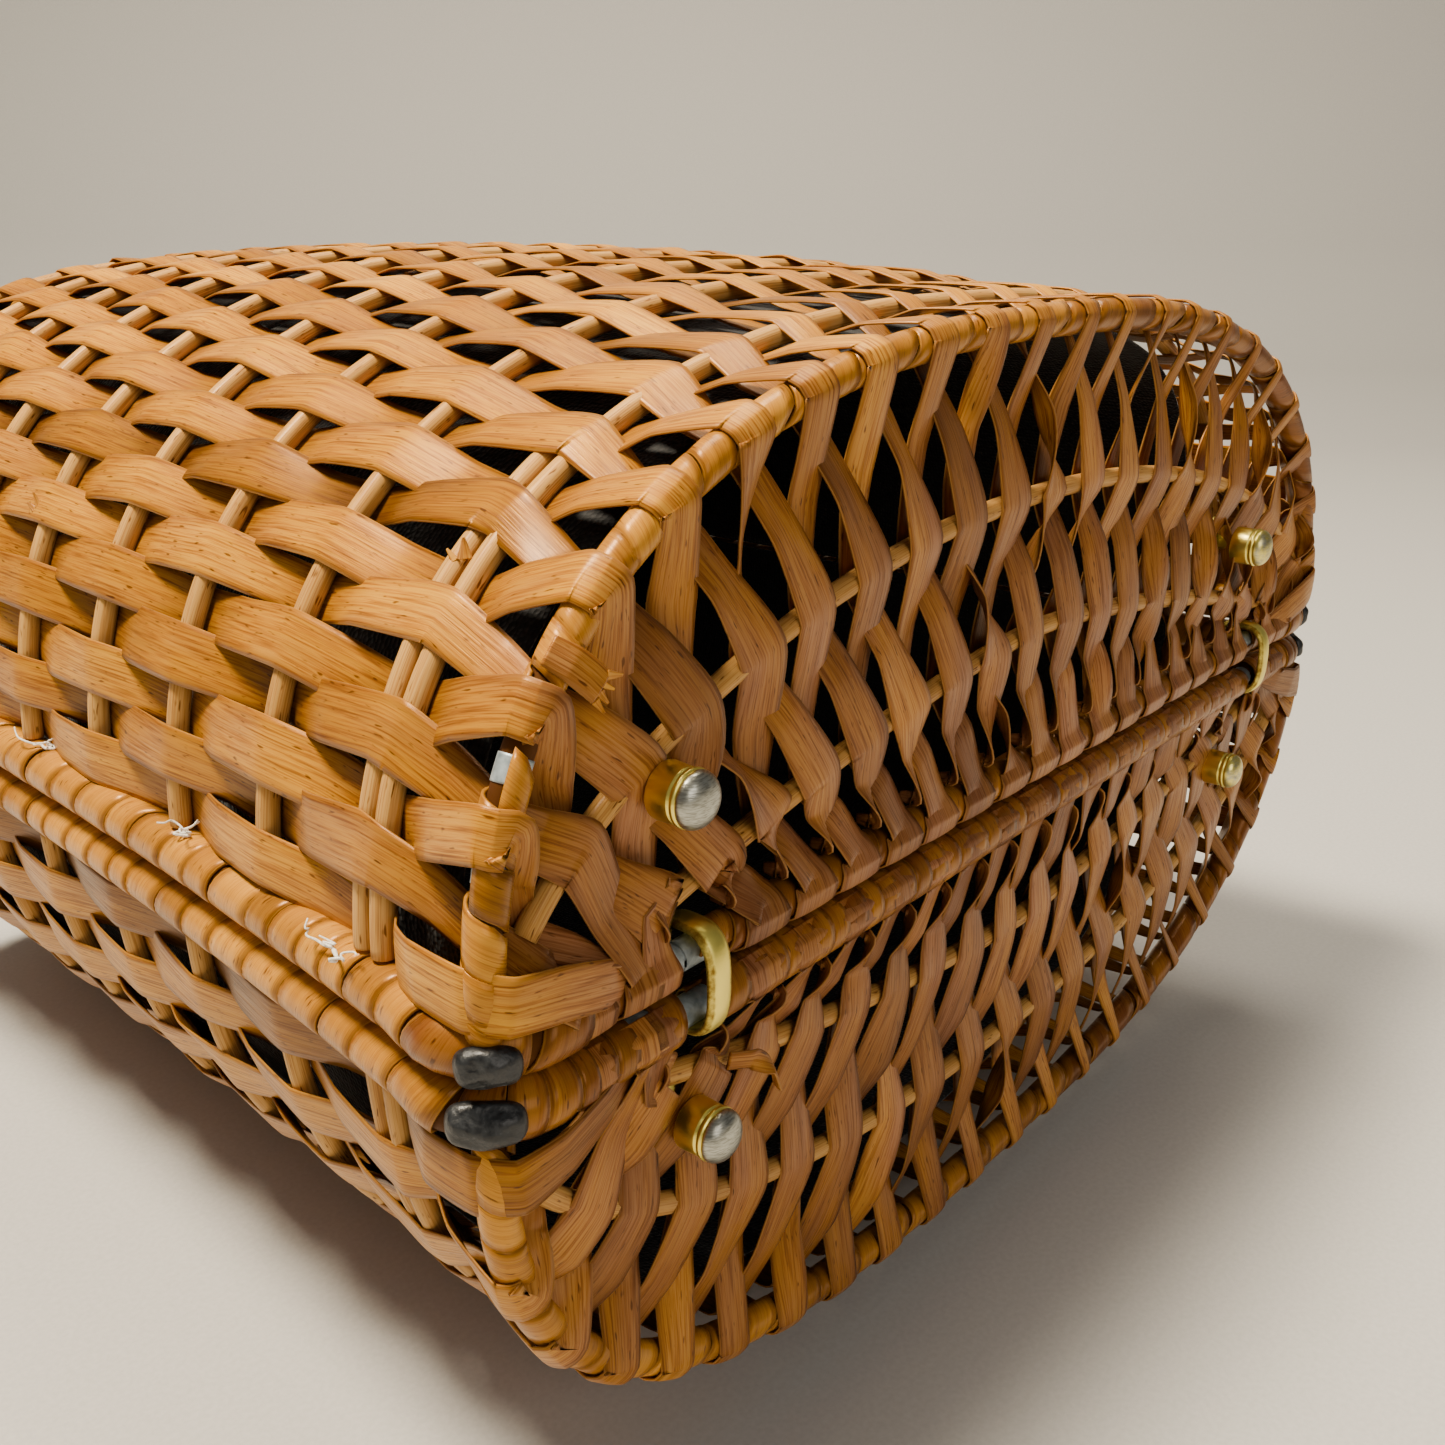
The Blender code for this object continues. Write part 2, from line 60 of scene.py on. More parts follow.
class Half(Enum):
    """The two hinged halves: name, side of the seam and the body that carries it."""

    UPPER = ("upper", 1.0, "upper_half")
    LOWER = ("lower", -1.0, "lower_half")

    def __init__(self, label: str, side: float, body: str) -> None:
        """Keep the three values under readable names."""
        self.label = label
        self.side = side
        self.body = body


class Slot(Enum):
    """Material slots of the record."""

    STRIPS = "woven_strips"
    SKEIN = "wrapped_skein"
    REED = "peeled_reed"
    CLOTH = "lining_cloth"
    LEATHER = "black_leather"
    BRASS = "brass"


@dataclass(frozen=True)
class Placement:
    """Where the bag's own frame lies in the shared frame, read from the two rims."""

    seam: float
    base: float

    @classmethod
    def from_frame(cls, rim_radius: float) -> "Placement":
        """Find the seam between the rims, and the base seam one rim radius inside their edge.

        Args:
            rim_radius: radius of a wrapped rim, in millimetres.

        Returns:
            The placement of the bag's frame.
        """
        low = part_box("upper_rim")[0]
        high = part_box("lower_rim")[1]
        return cls(seam=(low.z + high.z) / 2, base=low.y + rim_radius * MM)

    def carry(self, points: Array) -> Array:
        """Millimetres in the bag's frame to metres in the shared frame."""
        return points * MM + np.array((0.0, self.base, self.seam))


# ---- form of the bag ----------------------------------------------------------------------------
def unit(vectors: Array) -> Array:
    """Vectors scaled to length one."""
    return vectors / np.maximum(np.linalg.norm(vectors, axis=-1, keepdims=True), 1e-9)


@dataclass(frozen=True)
class BagForm:
    """Proportions of the reed frame, in millimetres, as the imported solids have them."""

    base_half_length: float = 132.0
    base_half_depth: float = 81.5
    base_lean: float = 0.042
    roundness: float = 2.65
    top_y: float = 262.0
    top_half_length: float = 117.0
    top_depth: float = 78.0
    side_taper: tuple[float, float] = (-12.2, 2.8)
    belly: tuple[float, float] = (10.25, -3.7)
    rim_radius: float = 4.4
    rim_lift: float = 4.55
    rim_base_corner: float = 9.0
    rim_top_corner: float = 14.0
    arch_radius: float = 3.1
    reed_radius: float = 1.7
    skin_start: float = 9.25
    hoop_first: float = 24.7
    hoop_step: float = 27.5
    hoop_count: int = 9
    double_spread: float = 4.1
    splice_end: float = math.radians(50)
    outer_rod: tuple[float, float, float] = (53.0, 2.05, 125.0)
    inner_rod: tuple[float, float, float] = (29.0, 1.44, 107.0)
    ring_x: float = 96.5
    top_rod_scale: float = 0.93
    top_rod_cut: float = 3.0

    def half_length(self, y: Array) -> Array:
        """Half length at y: a straight line with a slight square term."""
        t = np.asarray(y, float) / 100.0
        return self.base_half_length + self.side_taper[0] * t + self.side_taper[1] * t * t

    def half_depth(self, y: Array) -> Array:
        """Depth of one half at y: a slow belly."""
        t = np.asarray(y, float) / 100.0
        return self.base_half_depth + self.belly[0] * t + self.belly[1] * t * t

    def hoops(self) -> list[tuple[str, float]]:
        """Names and places of the stakes, the first of which is double."""
        first = [("stake_1a", self.hoop_first - self.double_spread / 2),
                 ("stake_1b", self.hoop_first + self.double_spread / 2)]
        rest = [(f"stake_{i + 1}", self.hoop_first + self.hoop_step * i) for i in range(1, self.hoop_count)]
        return first + rest

    def arch(self, y: float, length: float, depth: float, lean: float, start: float,
             count: int = 481, end: float | None = None) -> tuple[Array, Array, Array]:
        """A superellipse arch: x = -L sgn(cos a) |cos a|^(2/n), z = D |sin a|^(2/n), leaning towards +Y.

        Args:
            y: place of its feet.
            length: half length L.
            depth: rise D.
            lean: how far it leans for each unit of height.
            start: height at which it starts and ends.
            count: number of points.
            end: angle a at which it ends, else the right rim.

        Returns:
            Points, outward normals and tangents, evenly spread along the arch.
        """
        n = self.roundness
        first = math.asin((start / depth) ** (n / 2))
        a = np.linspace(first, math.pi - first if end is None else end, 4 * count)
        c, s = np.cos(a), np.sin(a)
        x = -length * np.sign(c) * np.abs(c) ** (2 / n)
        z = depth * np.abs(s) ** (2 / n)
        points = np.stack([x, y + lean * z, z], axis=1)
        points = resample(points, count)
        tangents = unit(np.gradient(points, axis=0))
        plane = unit(np.array([0.0, -1.0, lean]))
        normals = unit(np.cross(plane, tangents))
        middle = points[count // 2]
        normals *= np.sign(normals[count // 2] @ np.array([middle[0], 0.0, middle[2]]))
        return points, normals, tangents

    def rod(self, y: float, length: float, depth: float, roundness: float, reach: float,
            lean: float, count: int = 181) -> Array:
        """A reed bowed across the base or top face: z = d (1 - |x/L|^n)^(1/n), out to x = reach."""
        x = np.linspace(-reach, reach, count)
        z = depth * (1 - np.abs(x / length) ** roundness) ** (1 / roundness)
        return np.stack([x, y + lean * z, z], axis=1)

    def base_rod(self, spec: tuple[float, float, float]) -> Array:
        """A rod of the base, of this depth, roundness and reach, on the base's lean."""
        depth, roundness, reach = spec
        return self.rod(0.0, self.base_half_length, depth, roundness, reach, self.base_lean)

    def top_rod(self, spec: tuple[float, float, float]) -> Array:
        """The rod of the top face that matches a rod of the base: shallower and shorter in proportion."""
        depth, roundness, reach = spec
        reach = reach * (self.top_half_length / self.base_half_length) - self.top_rod_cut
        return self.rod(self.top_y, self.top_half_length, depth * self.top_rod_scale, roundness, reach, 0.0)

    def rim(self, count: int = 1200) -> Array:
        """The rim of one half in its own plane: straight base, bowed sides, round corners, straight top."""
        quarter = np.radians(np.linspace(-90, 0, 24))
        r, centre = self.rim_base_corner, self.base_half_length - self.rim_base_corner
        corner = np.stack([centre + r * np.cos(quarter), r * (1 + np.sin(quarter))], axis=1)
        y = np.linspace(r * 2, self.top_y - self.rim_top_corner * 1.6, 60)
        side = np.stack([self.half_length(y), y], axis=1)
        r = self.rim_top_corner
        length = float(self.half_length(self.top_y - r))
        top = np.stack([length - r + r * np.cos(quarter + math.pi / 2),
                        self.top_y - r + r * np.sin(quarter + math.pi / 2)], axis=1)
        right = np.concatenate([[[0.0, 0.0]], corner, side, top, [[0.0, self.top_y]]])
        left = right[::-1] * np.array([-1.0, 1.0])
        loop = np.concatenate([right, left[1:]])
        points = np.concatenate([loop, np.zeros((len(loop), 1))], axis=1)
        return resample(points, count)


def resample(points: Array, count: int) -> Array:
    """The same line with its points at equal distances along it."""
    steps = np.linalg.norm(np.diff(points, axis=0), axis=1)
    along = np.concatenate([[0.0], np.cumsum(steps)])
    wanted = np.linspace(0.0, along[-1], count)
    return np.stack([np.interp(wanted, along, points[:, k]) for k in range(3)], axis=1)


def arc_length(points: Array) -> Array:
    """Distance along a line at each of its points."""
    return np.concatenate([[0.0], np.cumsum(np.linalg.norm(np.diff(points, axis=0), axis=1))])


def sample(values: Array, along: Array, wanted: Array) -> Array:
    """Rows of values, read at other distances along a line."""
    return np.stack([np.interp(wanted, along, values[:, k]) for k in range(values.shape[1])], axis=-1)


def smooth_line(knots: Array, per_gap: int, ease: float = 0.42) -> Array:
    """A smooth line through knots whose first three columns are places.

    Each gap is a cubic from knot to knot. A knot's slope is the mean of its two chords, each over the
    root of its own length, so that the line neither loops nor swings out at closely set knots. Eased
    slopes leave the gaps nearly straight, with a knee at each knot, as split cane bends.

    Args:
        knots: rows of any width.
        per_gap: samples for each gap between knots.
        ease: share of the full slope that a knot keeps.

    Returns:
        The sampled rows, the last knot included.
    """
    chord = np.maximum(np.linalg.norm(np.diff(knots[:, :3], axis=0), axis=1), 0.05) ** 0.5
    slope = np.diff(knots, axis=0) / chord[:, None]
    before, after = chord[:-1, None], chord[1:, None]
    inner = (slope[:-1] * after + slope[1:] * before) / (before + after)
    slopes = np.concatenate([slope[:1], inner, slope[-1:]]) * ease
    t = np.linspace(0, 1, per_gap, endpoint=False)[None, :, None]
    start, end = knots[:-1, None, :], knots[1:, None, :]
    leave, arrive = slopes[:-1, None, :] * chord[:, None, None], slopes[1:, None, :] * chord[:, None, None]
    rows = (start * (2 * t ** 3 - 3 * t ** 2 + 1) + leave * (t ** 3 - 2 * t ** 2 + t)
            + end * (3 * t ** 2 - 2 * t ** 3) + arrive * (t ** 3 - t ** 2))
    return np.concatenate([rows.reshape(-1, knots.shape[1]), knots[-1:]])


# ---- meshes -------------------------------------------------------------------------------------
@dataclass
class Surface:
    """Closed tubes gathered into one mesh, with the grain attributes that the finishes read."""

    places: list[Array] = field(default_factory=list)
    faces: list[Array] = field(default_factory=list)
    grains: list[Array] = field(default_factory=list)
    tones: list[Array] = field(default_factory=list)
    edges: list[Array] = field(default_factory=list)
    reds: list[Array] = field(default_factory=list)
    count: int = 0

    def tube(self, rings: Array, grain: Array, tone: Array | float, edge: Array | float = 0.0,
             red: Array | float = 0.0, loop: bool = False) -> None:
        """Add a closed skin over rings of points that run along a path.

        Args:
            rings: points as (along, round, 3).
            grain: across and along distances in millimetres and a seed, as (along, round, 3).
            tone: shade of the piece, 0 to 1, as a number or as (along, round).
            edge: 1 at a raw edge and 0 in the middle, alike.
            red: share of the darker, redder stain, alike.
            loop: whether the path closes on itself; else flat caps close its ends.
        """
        rows, round_ = rings.shape[:2]
        index = np.arange(rows * round_).reshape(rows, round_) + self.count
        ahead = np.roll(index, -1, axis=0) if loop else index[1:]
        here = index if loop else index[:-1]
        quads = np.stack([here, np.roll(here, -1, axis=1), np.roll(ahead, -1, axis=1), ahead], axis=-1)
        self.faces.append(quads.reshape(-1, 4))
        self.places.append(rings.reshape(-1, 3))
        self.grains.append(np.broadcast_to(grain, rings.shape).reshape(-1, 3))
        for store, value in ((self.tones, tone), (self.edges, edge), (self.reds, red)):
            store.append(np.broadcast_to(np.asarray(value, float), (rows, round_)).reshape(-1))
        self.count += rows * round_
        if not loop:
            self.cap(index[0][::-1])
            self.cap(index[-1])

    def cap(self, ring: Array) -> None:
        """Close a ring of even count with a strip of quads across it."""
        half = len(ring) // 2
        left, right = ring[:half], ring[half:][::-1]
        quads = np.stack([left[:-1], left[1:], right[1:], right[:-1]], axis=-1)
        self.faces.append(quads)

    def build(self, name: str, placement: Placement, side: float = 1.0) -> bpy.types.Object:
        """Put everything into one object.

        Args:
            name: the piece's name.
            placement: where the bag lies.
            side: -1 mirrors the bag's frame over the seam.

        Returns:
            The new object, linked to the scene, its place in its mesh.
        """
        points = np.concatenate(self.places)
        faces = np.concatenate(self.faces)
        if side < 0:
            points = points * np.array([1.0, 1.0, -1.0])
            faces = faces[:, ::-1]
        mesh = bpy.data.meshes.new(name)
        mesh.from_pydata(placement.carry(points), [], faces.tolist())
        grain = mesh.attributes.new("grain", "FLOAT_VECTOR", "POINT")
        grain.data.foreach_set("vector", np.concatenate(self.grains).astype(np.float32).ravel())
        for label, store in (("tone", self.tones), ("edge", self.edges), ("red", self.reds)):
            layer = mesh.attributes.new(label, "FLOAT", "POINT")
            layer.data.foreach_set("value", np.concatenate(store).astype(np.float32))
        mesh.shade_smooth()
        obj = bpy.data.objects.new(name, mesh)
        bpy.context.scene.collection.objects.link(obj)
        return obj


def round_rings(points: Array, first: Array, second: Array, radius: Array | float, sides: int) -> Array:
    """Circles round a path: point + r (first cos a + second sin a)."""
    a = np.linspace(0, 2 * math.pi, sides, endpoint=False)
    r = np.broadcast_to(np.asarray(radius, float), (len(points),))[:, None, None]
    ring = first[:, None, :] * np.cos(a)[None, :, None] + second[:, None, :] * np.sin(a)[None, :, None]
    return points[:, None, :] + r * ring


def path_frames(points: Array, plane: Array) -> tuple[Array, Array]:
    """Two axes across a path at each point: the normal of the plane it lies in, and the third axis."""
    tangents = unit(np.gradient(points, axis=0))
    first = unit(plane - tangents * (tangents @ plane)[:, None])
    return first, np.cross(tangents, first)


def smooth_noise(rng: np.random.Generator, count: int, step: int) -> Array:
    """Random values between -1 and 1 at every step-th place, joined smoothly."""
    knots = rng.uniform(-1, 1, count // step + 3)
    place = np.arange(count) / step
    low = place.astype(int)
    share = place - low
    share = share * share * (3 - 2 * share)
    return knots[low] * (1 - share) + knots[low + 1] * share


# ---- finishes -----------------------------------------------------------------------------------
def linear(colour: str, alpha: float = 1.0) -> tuple[float, float, float, float]:
    """An sRGB hex colour as linear values."""
    parts = [int(colour[i:i + 2], 16) / 255 for i in (1, 3, 5)]
    values = [p / 12.92 if p <= 0.04045 else ((p + 0.055) / 1.055) ** 2.4 for p in parts]
    return values[0], values[1], values[2], alpha


class Tree:
    """A material's node tree."""

    def __init__(self, name: str) -> None:
        """Start a material of this name with a Principled shader."""
        self.material = bpy.data.materials.new(name)
        self.material.use_nodes = True
        self.nodes = self.material.node_tree.nodes
        self.links = self.material.node_tree.links
        self.shader = self.nodes["Principled BSDF"]

    def add(self, kind: str, settings: dict[str, object] | None = None,
            **inputs: object) -> bpy.types.Node:
        """Add one node.

        Args:
            kind: the node's type without its ShaderNode prefix.
            settings: attributes of the node.
            inputs: socket names, spaces as underscores, with values or output sockets; in_N is socket N.

        Returns:
            The node.
        """
        node = self.nodes.new("ShaderNode" + kind)
        for key, value in (settings or {}).items():
            setattr(node, key, value)
        for key, value in inputs.items():
            self.feed(node, key, value)
        return node

    def feed(self, node: bpy.types.Node, key: str, value: object) -> None:
        """Set or link one socket of a node."""
        socket = node.inputs[int(key[3:])] if key.startswith("in_") else node.inputs[key.replace("_", " ")]
        if isinstance(value, bpy.types.NodeSocket):
            self.links.new(value, socket)
        else:
            socket.default_value = value

    def ramp(self, value: bpy.types.NodeSocket, *stops: tuple[float, str]) -> bpy.types.NodeSocket:
        """A colour ramp through sRGB stops."""
        node = self.add("ValToRGB", Fac=value)
        elements = node.color_ramp.elements
        while len(elements) < len(stops):
            elements.new(0.5)
        for element, (place, colour) in zip(elements, stops):
            element.position = place
            element.color = linear(colour)
        return node.outputs["Color"]

    def blend(self, share: object, first: object, second: object,
              mode: str = "MIX") -> bpy.types.NodeSocket:
        """Mix two colours."""
        node = self.add("Mix", {"data_type": "RGBA", "blend_type": mode})
        for index, value in ((0, share), (6, first), (7, second)):
            if isinstance(value, bpy.types.NodeSocket):
                self.links.new(value, node.inputs[index])
            else:
                node.inputs[index].default_value = value
        return node.outputs[2]

    def remap(self, value: bpy.types.NodeSocket, low: float, high: float, to_low: float = 0.0,
              to_high: float = 1.0) -> bpy.types.NodeSocket:
        """Carry one range to another, clamped."""
        node = self.add("MapRange", in_0=value, in_1=low, in_2=high, in_3=to_low, in_4=to_high)
        return node.outputs[0]

    def finish(self, **inputs: object) -> bpy.types.Material:
        """Feed the shader and return the material."""
        for key, value in inputs.items():
            self.feed(self.shader, key, value)
        return self.material


@dataclass(frozen=True)
class CaneFinish:
    """Split willow or rattan, shaved flat and varnished: fine grain along it, brown flecks, pale edges, and
    painted shade just inside the edges.

    The varnish gives a soft satin gloss, and the shade changes from strip to strip.
    """

    name: str
    pale: str
    mid: str
    deep: str
    red_pale: str
    red_deep: str
    edge: str
    roughness: float
    grain_width: float = 0.33       # mm between grain lines, a little coarser than the real pores
    grain_run: float = 14.0         # mm along which a grain line keeps its shade
    coat: float = 0.25
    bump: float = 0.6
    veins: float = 0.5
    lines: float = 0.75             # how strongly the grain lines darken the colour

    def make(self) -> bpy.types.Material:
        """Build the material from the grain, tone, edge and red attributes."""
        t = Tree(self.name)
        grain = t.add("Attribute", {"attribute_name": "grain"}).outputs["Vector"]
        tone = t.add("Attribute", {"attribute_name": "tone"}).outputs["Fac"]
        edge = t.add("Attribute", {"attribute_name": "edge"}).outputs["Fac"]
        red = t.add("Attribute", {"attribute_name": "red"}).outputs["Fac"]
        fine = t.add("Mapping", Vector=grain, Scale=(1 / self.grain_width, 1 / self.grain_run, 1.0))
        fibres = t.add("TexNoise", Vector=fine.outputs[0], Scale=1.0, Detail=3.0, Roughness=0.6)
        broad = t.add("Mapping", Vector=grain, Scale=(0.55, 0.05, 1.0))
        bands = t.add("TexNoise", Vector=broad.outputs[0], Scale=1.0, Detail=2.0, Roughness=0.5)
        cloud = t.add("Mapping", Vector=grain, Scale=(0.12, 0.035, 1.0))
        patches = t.add("TexNoise", Vector=cloud.outputs[0], Scale=1.0, Detail=2.0)
        fleck_map = t.add("Mapping", Vector=grain, Scale=(1.9, 0.33, 1.0))
        flecks = t.add("TexNoise", Vector=fleck_map.outputs[0], Scale=1.0, Detail=1.0)
        shade = t.add("Math", {"operation": "MULTIPLY_ADD"}, in_0=bands.outputs["Fac"], in_1=0.4, in_2=-0.2)
        toned = t.add("Math", {"operation": "ADD"}, in_0=tone, in_1=shade.outputs[0])
        golden = t.ramp(toned.outputs[0], (0.0, self.deep), (0.45, self.mid), (1.0, self.pale))
        stained = t.ramp(toned.outputs[0], (0.0, self.red_deep), (1.0, self.red_pale))
        wear = t.remap(patches.outputs["Fac"], 0.42, 0.72, -0.25, 0.3)
        share = t.add("Math", {"operation": "ADD", "use_clamp": True}, in_0=red, in_1=wear)
        colour = t.blend(share.outputs[0], golden, stained)
        lines = t.ramp(fibres.outputs["Fac"], (0.33, "#8f6240"), (0.45, "#dcc2a4"), (0.55, "#ffffff"))
        colour = t.blend(self.lines, colour, lines, "MULTIPLY")
        vein_map = t.add("Mapping", Vector=grain, Scale=(1.9, 0.06, 1.0))
        veins = t.add("TexNoise", Vector=vein_map.outputs[0], Scale=1.0, Detail=1.0)
        vein = t.ramp(veins.outputs["Fac"], (0.6, "#ffffff"), (0.7, "#9c7352"))
        colour = t.blend(self.veins, colour, vein, "MULTIPLY")
        dark = t.ramp(flecks.outputs["Fac"], (0.66, "#ffffff"), (0.74, "#6b4426"))
        colour = t.blend(0.85, colour, dark, "MULTIPLY")
        # painted shade: dark brown multiplied in just inside each strip's or turn's edges, where its
        # neighbours would shade it
        painted_edge_shade = t.remap(edge, 0.62, 0.93, 0.0, 0.5)
        colour = t.blend(painted_edge_shade, colour, linear("#7d4a20"), "MULTIPLY")
        raw = t.remap(edge, 0.94, 1.0, 0.0, 0.4)
        colour = t.blend(raw, colour, linear(self.edge))
        rough = t.remap(fibres.outputs["Fac"], 0.3, 0.7, self.roughness + 0.16, self.roughness - 0.05)
        height = t.add("Math", {"operation": "MULTIPLY_ADD"}, in_0=bands.outputs["Fac"], in_1=1.2,
                       in_2=fibres.outputs["Fac"])
        bump = t.add("Bump", Height=height.outputs[0], Distance=0.12 * MM, Strength=self.bump)
        return t.finish(Base_Color=colour, Roughness=rough, Normal=bump.outputs[0], Coat_Weight=self.coat,
                        Coat_Roughness=0.25, Specular_Tint=linear("#ffb35c"), Coat_Tint=linear("#ffdca0"))


@dataclass(frozen=True)
class ClothFinish:
    """Black cotton lining, plain woven: matt, with a thread grid and specks of lint."""

    name: str = "black_cotton_lining"
    thread: float = 0.9             # mm between threads, coarser than the real cloth so that it shows

    def make(self) -> bpy.types.Material:
        """Build the material on Object coordinates."""
        t = Tree(self.name)
        place = t.add("TexCoord").outputs["Object"]
        scale = 1 / (self.thread * MM)
        weave = t.add("TexVoronoi", {"feature": "F1"}, Vector=place, Scale=scale, Randomness=0.6)
        lint = t.add("TexNoise", Vector=place, Scale=scale * 0.9, Detail=2.0)
        base = t.ramp(weave.outputs["Distance"], (0.0, "#1b1a1a"), (0.7, "#060606"))
        speck = t.remap(lint.outputs["Fac"], 0.68, 0.74, 0.0, 0.5)
        colour = t.blend(speck, base, linear("#6b6258"))
        bump = t.add("Bump", Height=weave.outputs["Distance"], Distance=0.5 * MM, Strength=0.8)
        return t.finish(Base_Color=colour, Roughness=0.85, Normal=bump.outputs[0], Sheen_Weight=0.2)


@dataclass(frozen=True)
class LeatherFinish:
    """Thin black goatskin, pasted on wet: waxed, wrinkled where it turns, a satin sheen."""

    name: str = "waxed_black_goatskin"

    def make(self) -> bpy.types.Material:
        """Build the material on Object coordinates."""
        t = Tree(self.name)
        place = t.add("TexCoord").outputs["Object"]
        wrinkles = t.add("TexNoise", Vector=place, Scale=420.0, Detail=4.0, Roughness=0.6)
        pores = t.add("TexVoronoi", Vector=place, Scale=1400.0)
        scuff = t.add("TexNoise", Vector=place, Scale=900.0, Detail=3.0)
        colour = t.ramp(scuff.outputs["Fac"], (0.35, "#0d0e10"), (0.62, "#1d2023"), (0.75, "#4a4c4e"))
        height = t.add("Math", {"operation": "MULTIPLY_ADD"}, in_0=pores.outputs["Distance"], in_1=0.25,
                       in_2=wrinkles.outputs["Fac"])
        bump = t.add("Bump", Height=height.outputs[0], Distance=0.4 * MM, Strength=0.6)
        rough = t.remap(scuff.outputs["Fac"], 0.3, 0.7, 0.34, 0.55)
        return t.finish(Base_Color=colour, Roughness=rough, Normal=bump.outputs[0])


@dataclass(frozen=True)
class BrassFinish:
    """Turned or bent yellow brass, once polished: greenish yellow, brown tarnish in its grooves.

    Where a foot has stood, the edge attribute lays the pale scratched grey of worn metal over it.
    """

    name: str = "yellow_brass"
    bright: str = "#f2df70"
    tarnish: str = "#8a6c28"
    worn: str = "#b3b3a8"

    def make(self) -> bpy.types.Material:
        """Build the material from the edge and tone attributes and Object coordinates."""
        t = Tree(self.name)
        place = t.add("TexCoord").outputs["Object"]
        wear = t.add("Attribute", {"attribute_name": "edge"}).outputs["Fac"]
        tone = t.add("Attribute", {"attribute_name": "tone"}).outputs["Fac"]
        blotch = t.add("TexNoise", Vector=place, Scale=520.0, Detail=4.0, Roughness=0.65)
        scratch_map = t.add("Mapping", Vector=place, Scale=(900.0, 900.0, 5200.0), Rotation=(0.5, 0.3, 0.2))
        scratch = t.add("TexNoise", Vector=scratch_map.outputs[0], Scale=1.0, Detail=2.0)
        dirt = t.add("Math", {"operation": "ADD"}, in_0=blotch.outputs["Fac"], in_1=tone)
        dull = t.remap(dirt.outputs[0], 1.0, 1.35)
        colour = t.blend(dull, linear(self.bright), linear(self.tarnish))
        bare = t.add("Math", {"operation": "MULTIPLY_ADD"}, in_0=blotch.outputs["Fac"], in_1=0.7, in_2=wear)
        grey = t.remap(bare.outputs[0], 0.72, 1.0)
        pale = t.ramp(scratch.outputs["Fac"], (0.35, "#8b8a80"), (0.6, self.worn))
        colour = t.blend(grey, colour, pale)
        rough = t.remap(dirt.outputs[0], 0.5, 1.3, 0.3, 0.55)
        bump = t.add("Bump", Height=scratch.outputs["Fac"], Distance=0.06 * MM, Strength=0.5)
        return t.finish(Base_Color=colour, Metallic=1.0, Roughness=rough, Normal=bump.outputs[0])


@dataclass(frozen=True)
class WireFinish:
    """Galvanised steel wire: dull bluish zinc with darker spangles."""

    name: str = "galvanised_steel_wire"

    def make(self) -> bpy.types.Material:
        """Build the material on Object coordinates."""
        t = Tree(self.name)
        place = t.add("TexCoord").outputs["Object"]
        spangle = t.add("TexNoise", Vector=place, Scale=700.0, Detail=3.0)
        colour = t.ramp(spangle.outputs["Fac"], (0.3, "#8a979d"), (0.7, "#c4d0d5"))
        return t.finish(Base_Color=colour, Metallic=0.6, Roughness=0.5)


@dataclass(frozen=True)
class LinenFinish:
    """Off-white linen sewing thread, waxed and frayed."""

    name: str = "waxed_linen_thread"

    def make(self) -> bpy.types.Material:
        """Build the material on Object coordinates."""
        t = Tree(self.name)
        place = t.add("TexCoord").outputs["Object"]
        fuzz = t.add("TexNoise", Vector=place, Scale=2500.0, Detail=2.0)
        colour = t.ramp(fuzz.outputs["Fac"], (0.3, "#cfc6b4"), (0.7, "#f4efe4"))
        return t.finish(Base_Color=colour, Roughness=0.8)


class Finishes:
    """Every material of the bag, made once."""

    def __init__(self) -> None:
        """Make the materials."""
        self.strip = CaneFinish("varnished_split_willow", pale="#dea32e", mid="#a9720d", deep="#5c3803",
                                red_pale="#ac7750", red_deep="#5a3722", edge="#d3a258", roughness=0.34,
                                coat=0.1).make()
        self.skein = CaneFinish("lacquered_cane_skein", pale="#e0a437", mid="#b07a22", deep="#6c450c",
                                red_pale="#85501f", red_deep="#40210c", edge="#b5822c", roughness=0.28,
                                grain_width=0.25, coat=0.15, bump=0.2, veins=0.1, lines=0.5).make()
        self.reed = CaneFinish("peeled_rattan_reed", pale="#d6ac66", mid="#b98c4a", deep="#8a632f",
                               red_pale="#b0854e", red_deep="#6f4c26", edge="#d6b070", roughness=0.46,
                               grain_width=0.22, coat=0.1, bump=0.25, veins=0.1, lines=0.55).make()
        self.cloth = ClothFinish().make()
        self.leather = LeatherFinish().make()
        self.brass = BrassFinish().make()
        self.wire = WireFinish().make()
        # painted shade: the wire cores are coloured dark brown so that the slits between skein turns read as
        # shadow
        self.shaded = CaneFinish("shade_dark_cane_core", pale="#6b3f1a", mid="#4b2a10", deep="#2e1808",
                                 red_pale="#4b2a10", red_deep="#2e1808", edge="#4b2a10", roughness=0.7,
                                 coat=0.0).make()
        self.linen = LinenFinish().make()


@dataclass
class Workshop:
    """What every sub-assembly needs: the form, its place and the finishes."""

    form: BagForm
    placement: Placement
    finishes: Finishes

    def hand_over(self, obj: bpy.types.Object, material: bpy.types.Material, body: str, slot: Slot,
                  *nodes: str) -> bpy.types.Object:
        """Dress a piece, hang it on its body and let it stand for frame nodes."""
        obj.data.materials.clear()
        obj.data.materials.append(material)
        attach(obj, body)
        if nodes:
            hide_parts(*nodes)
        LOG.info("%s rides on %s", obj.name, body)
        return obj


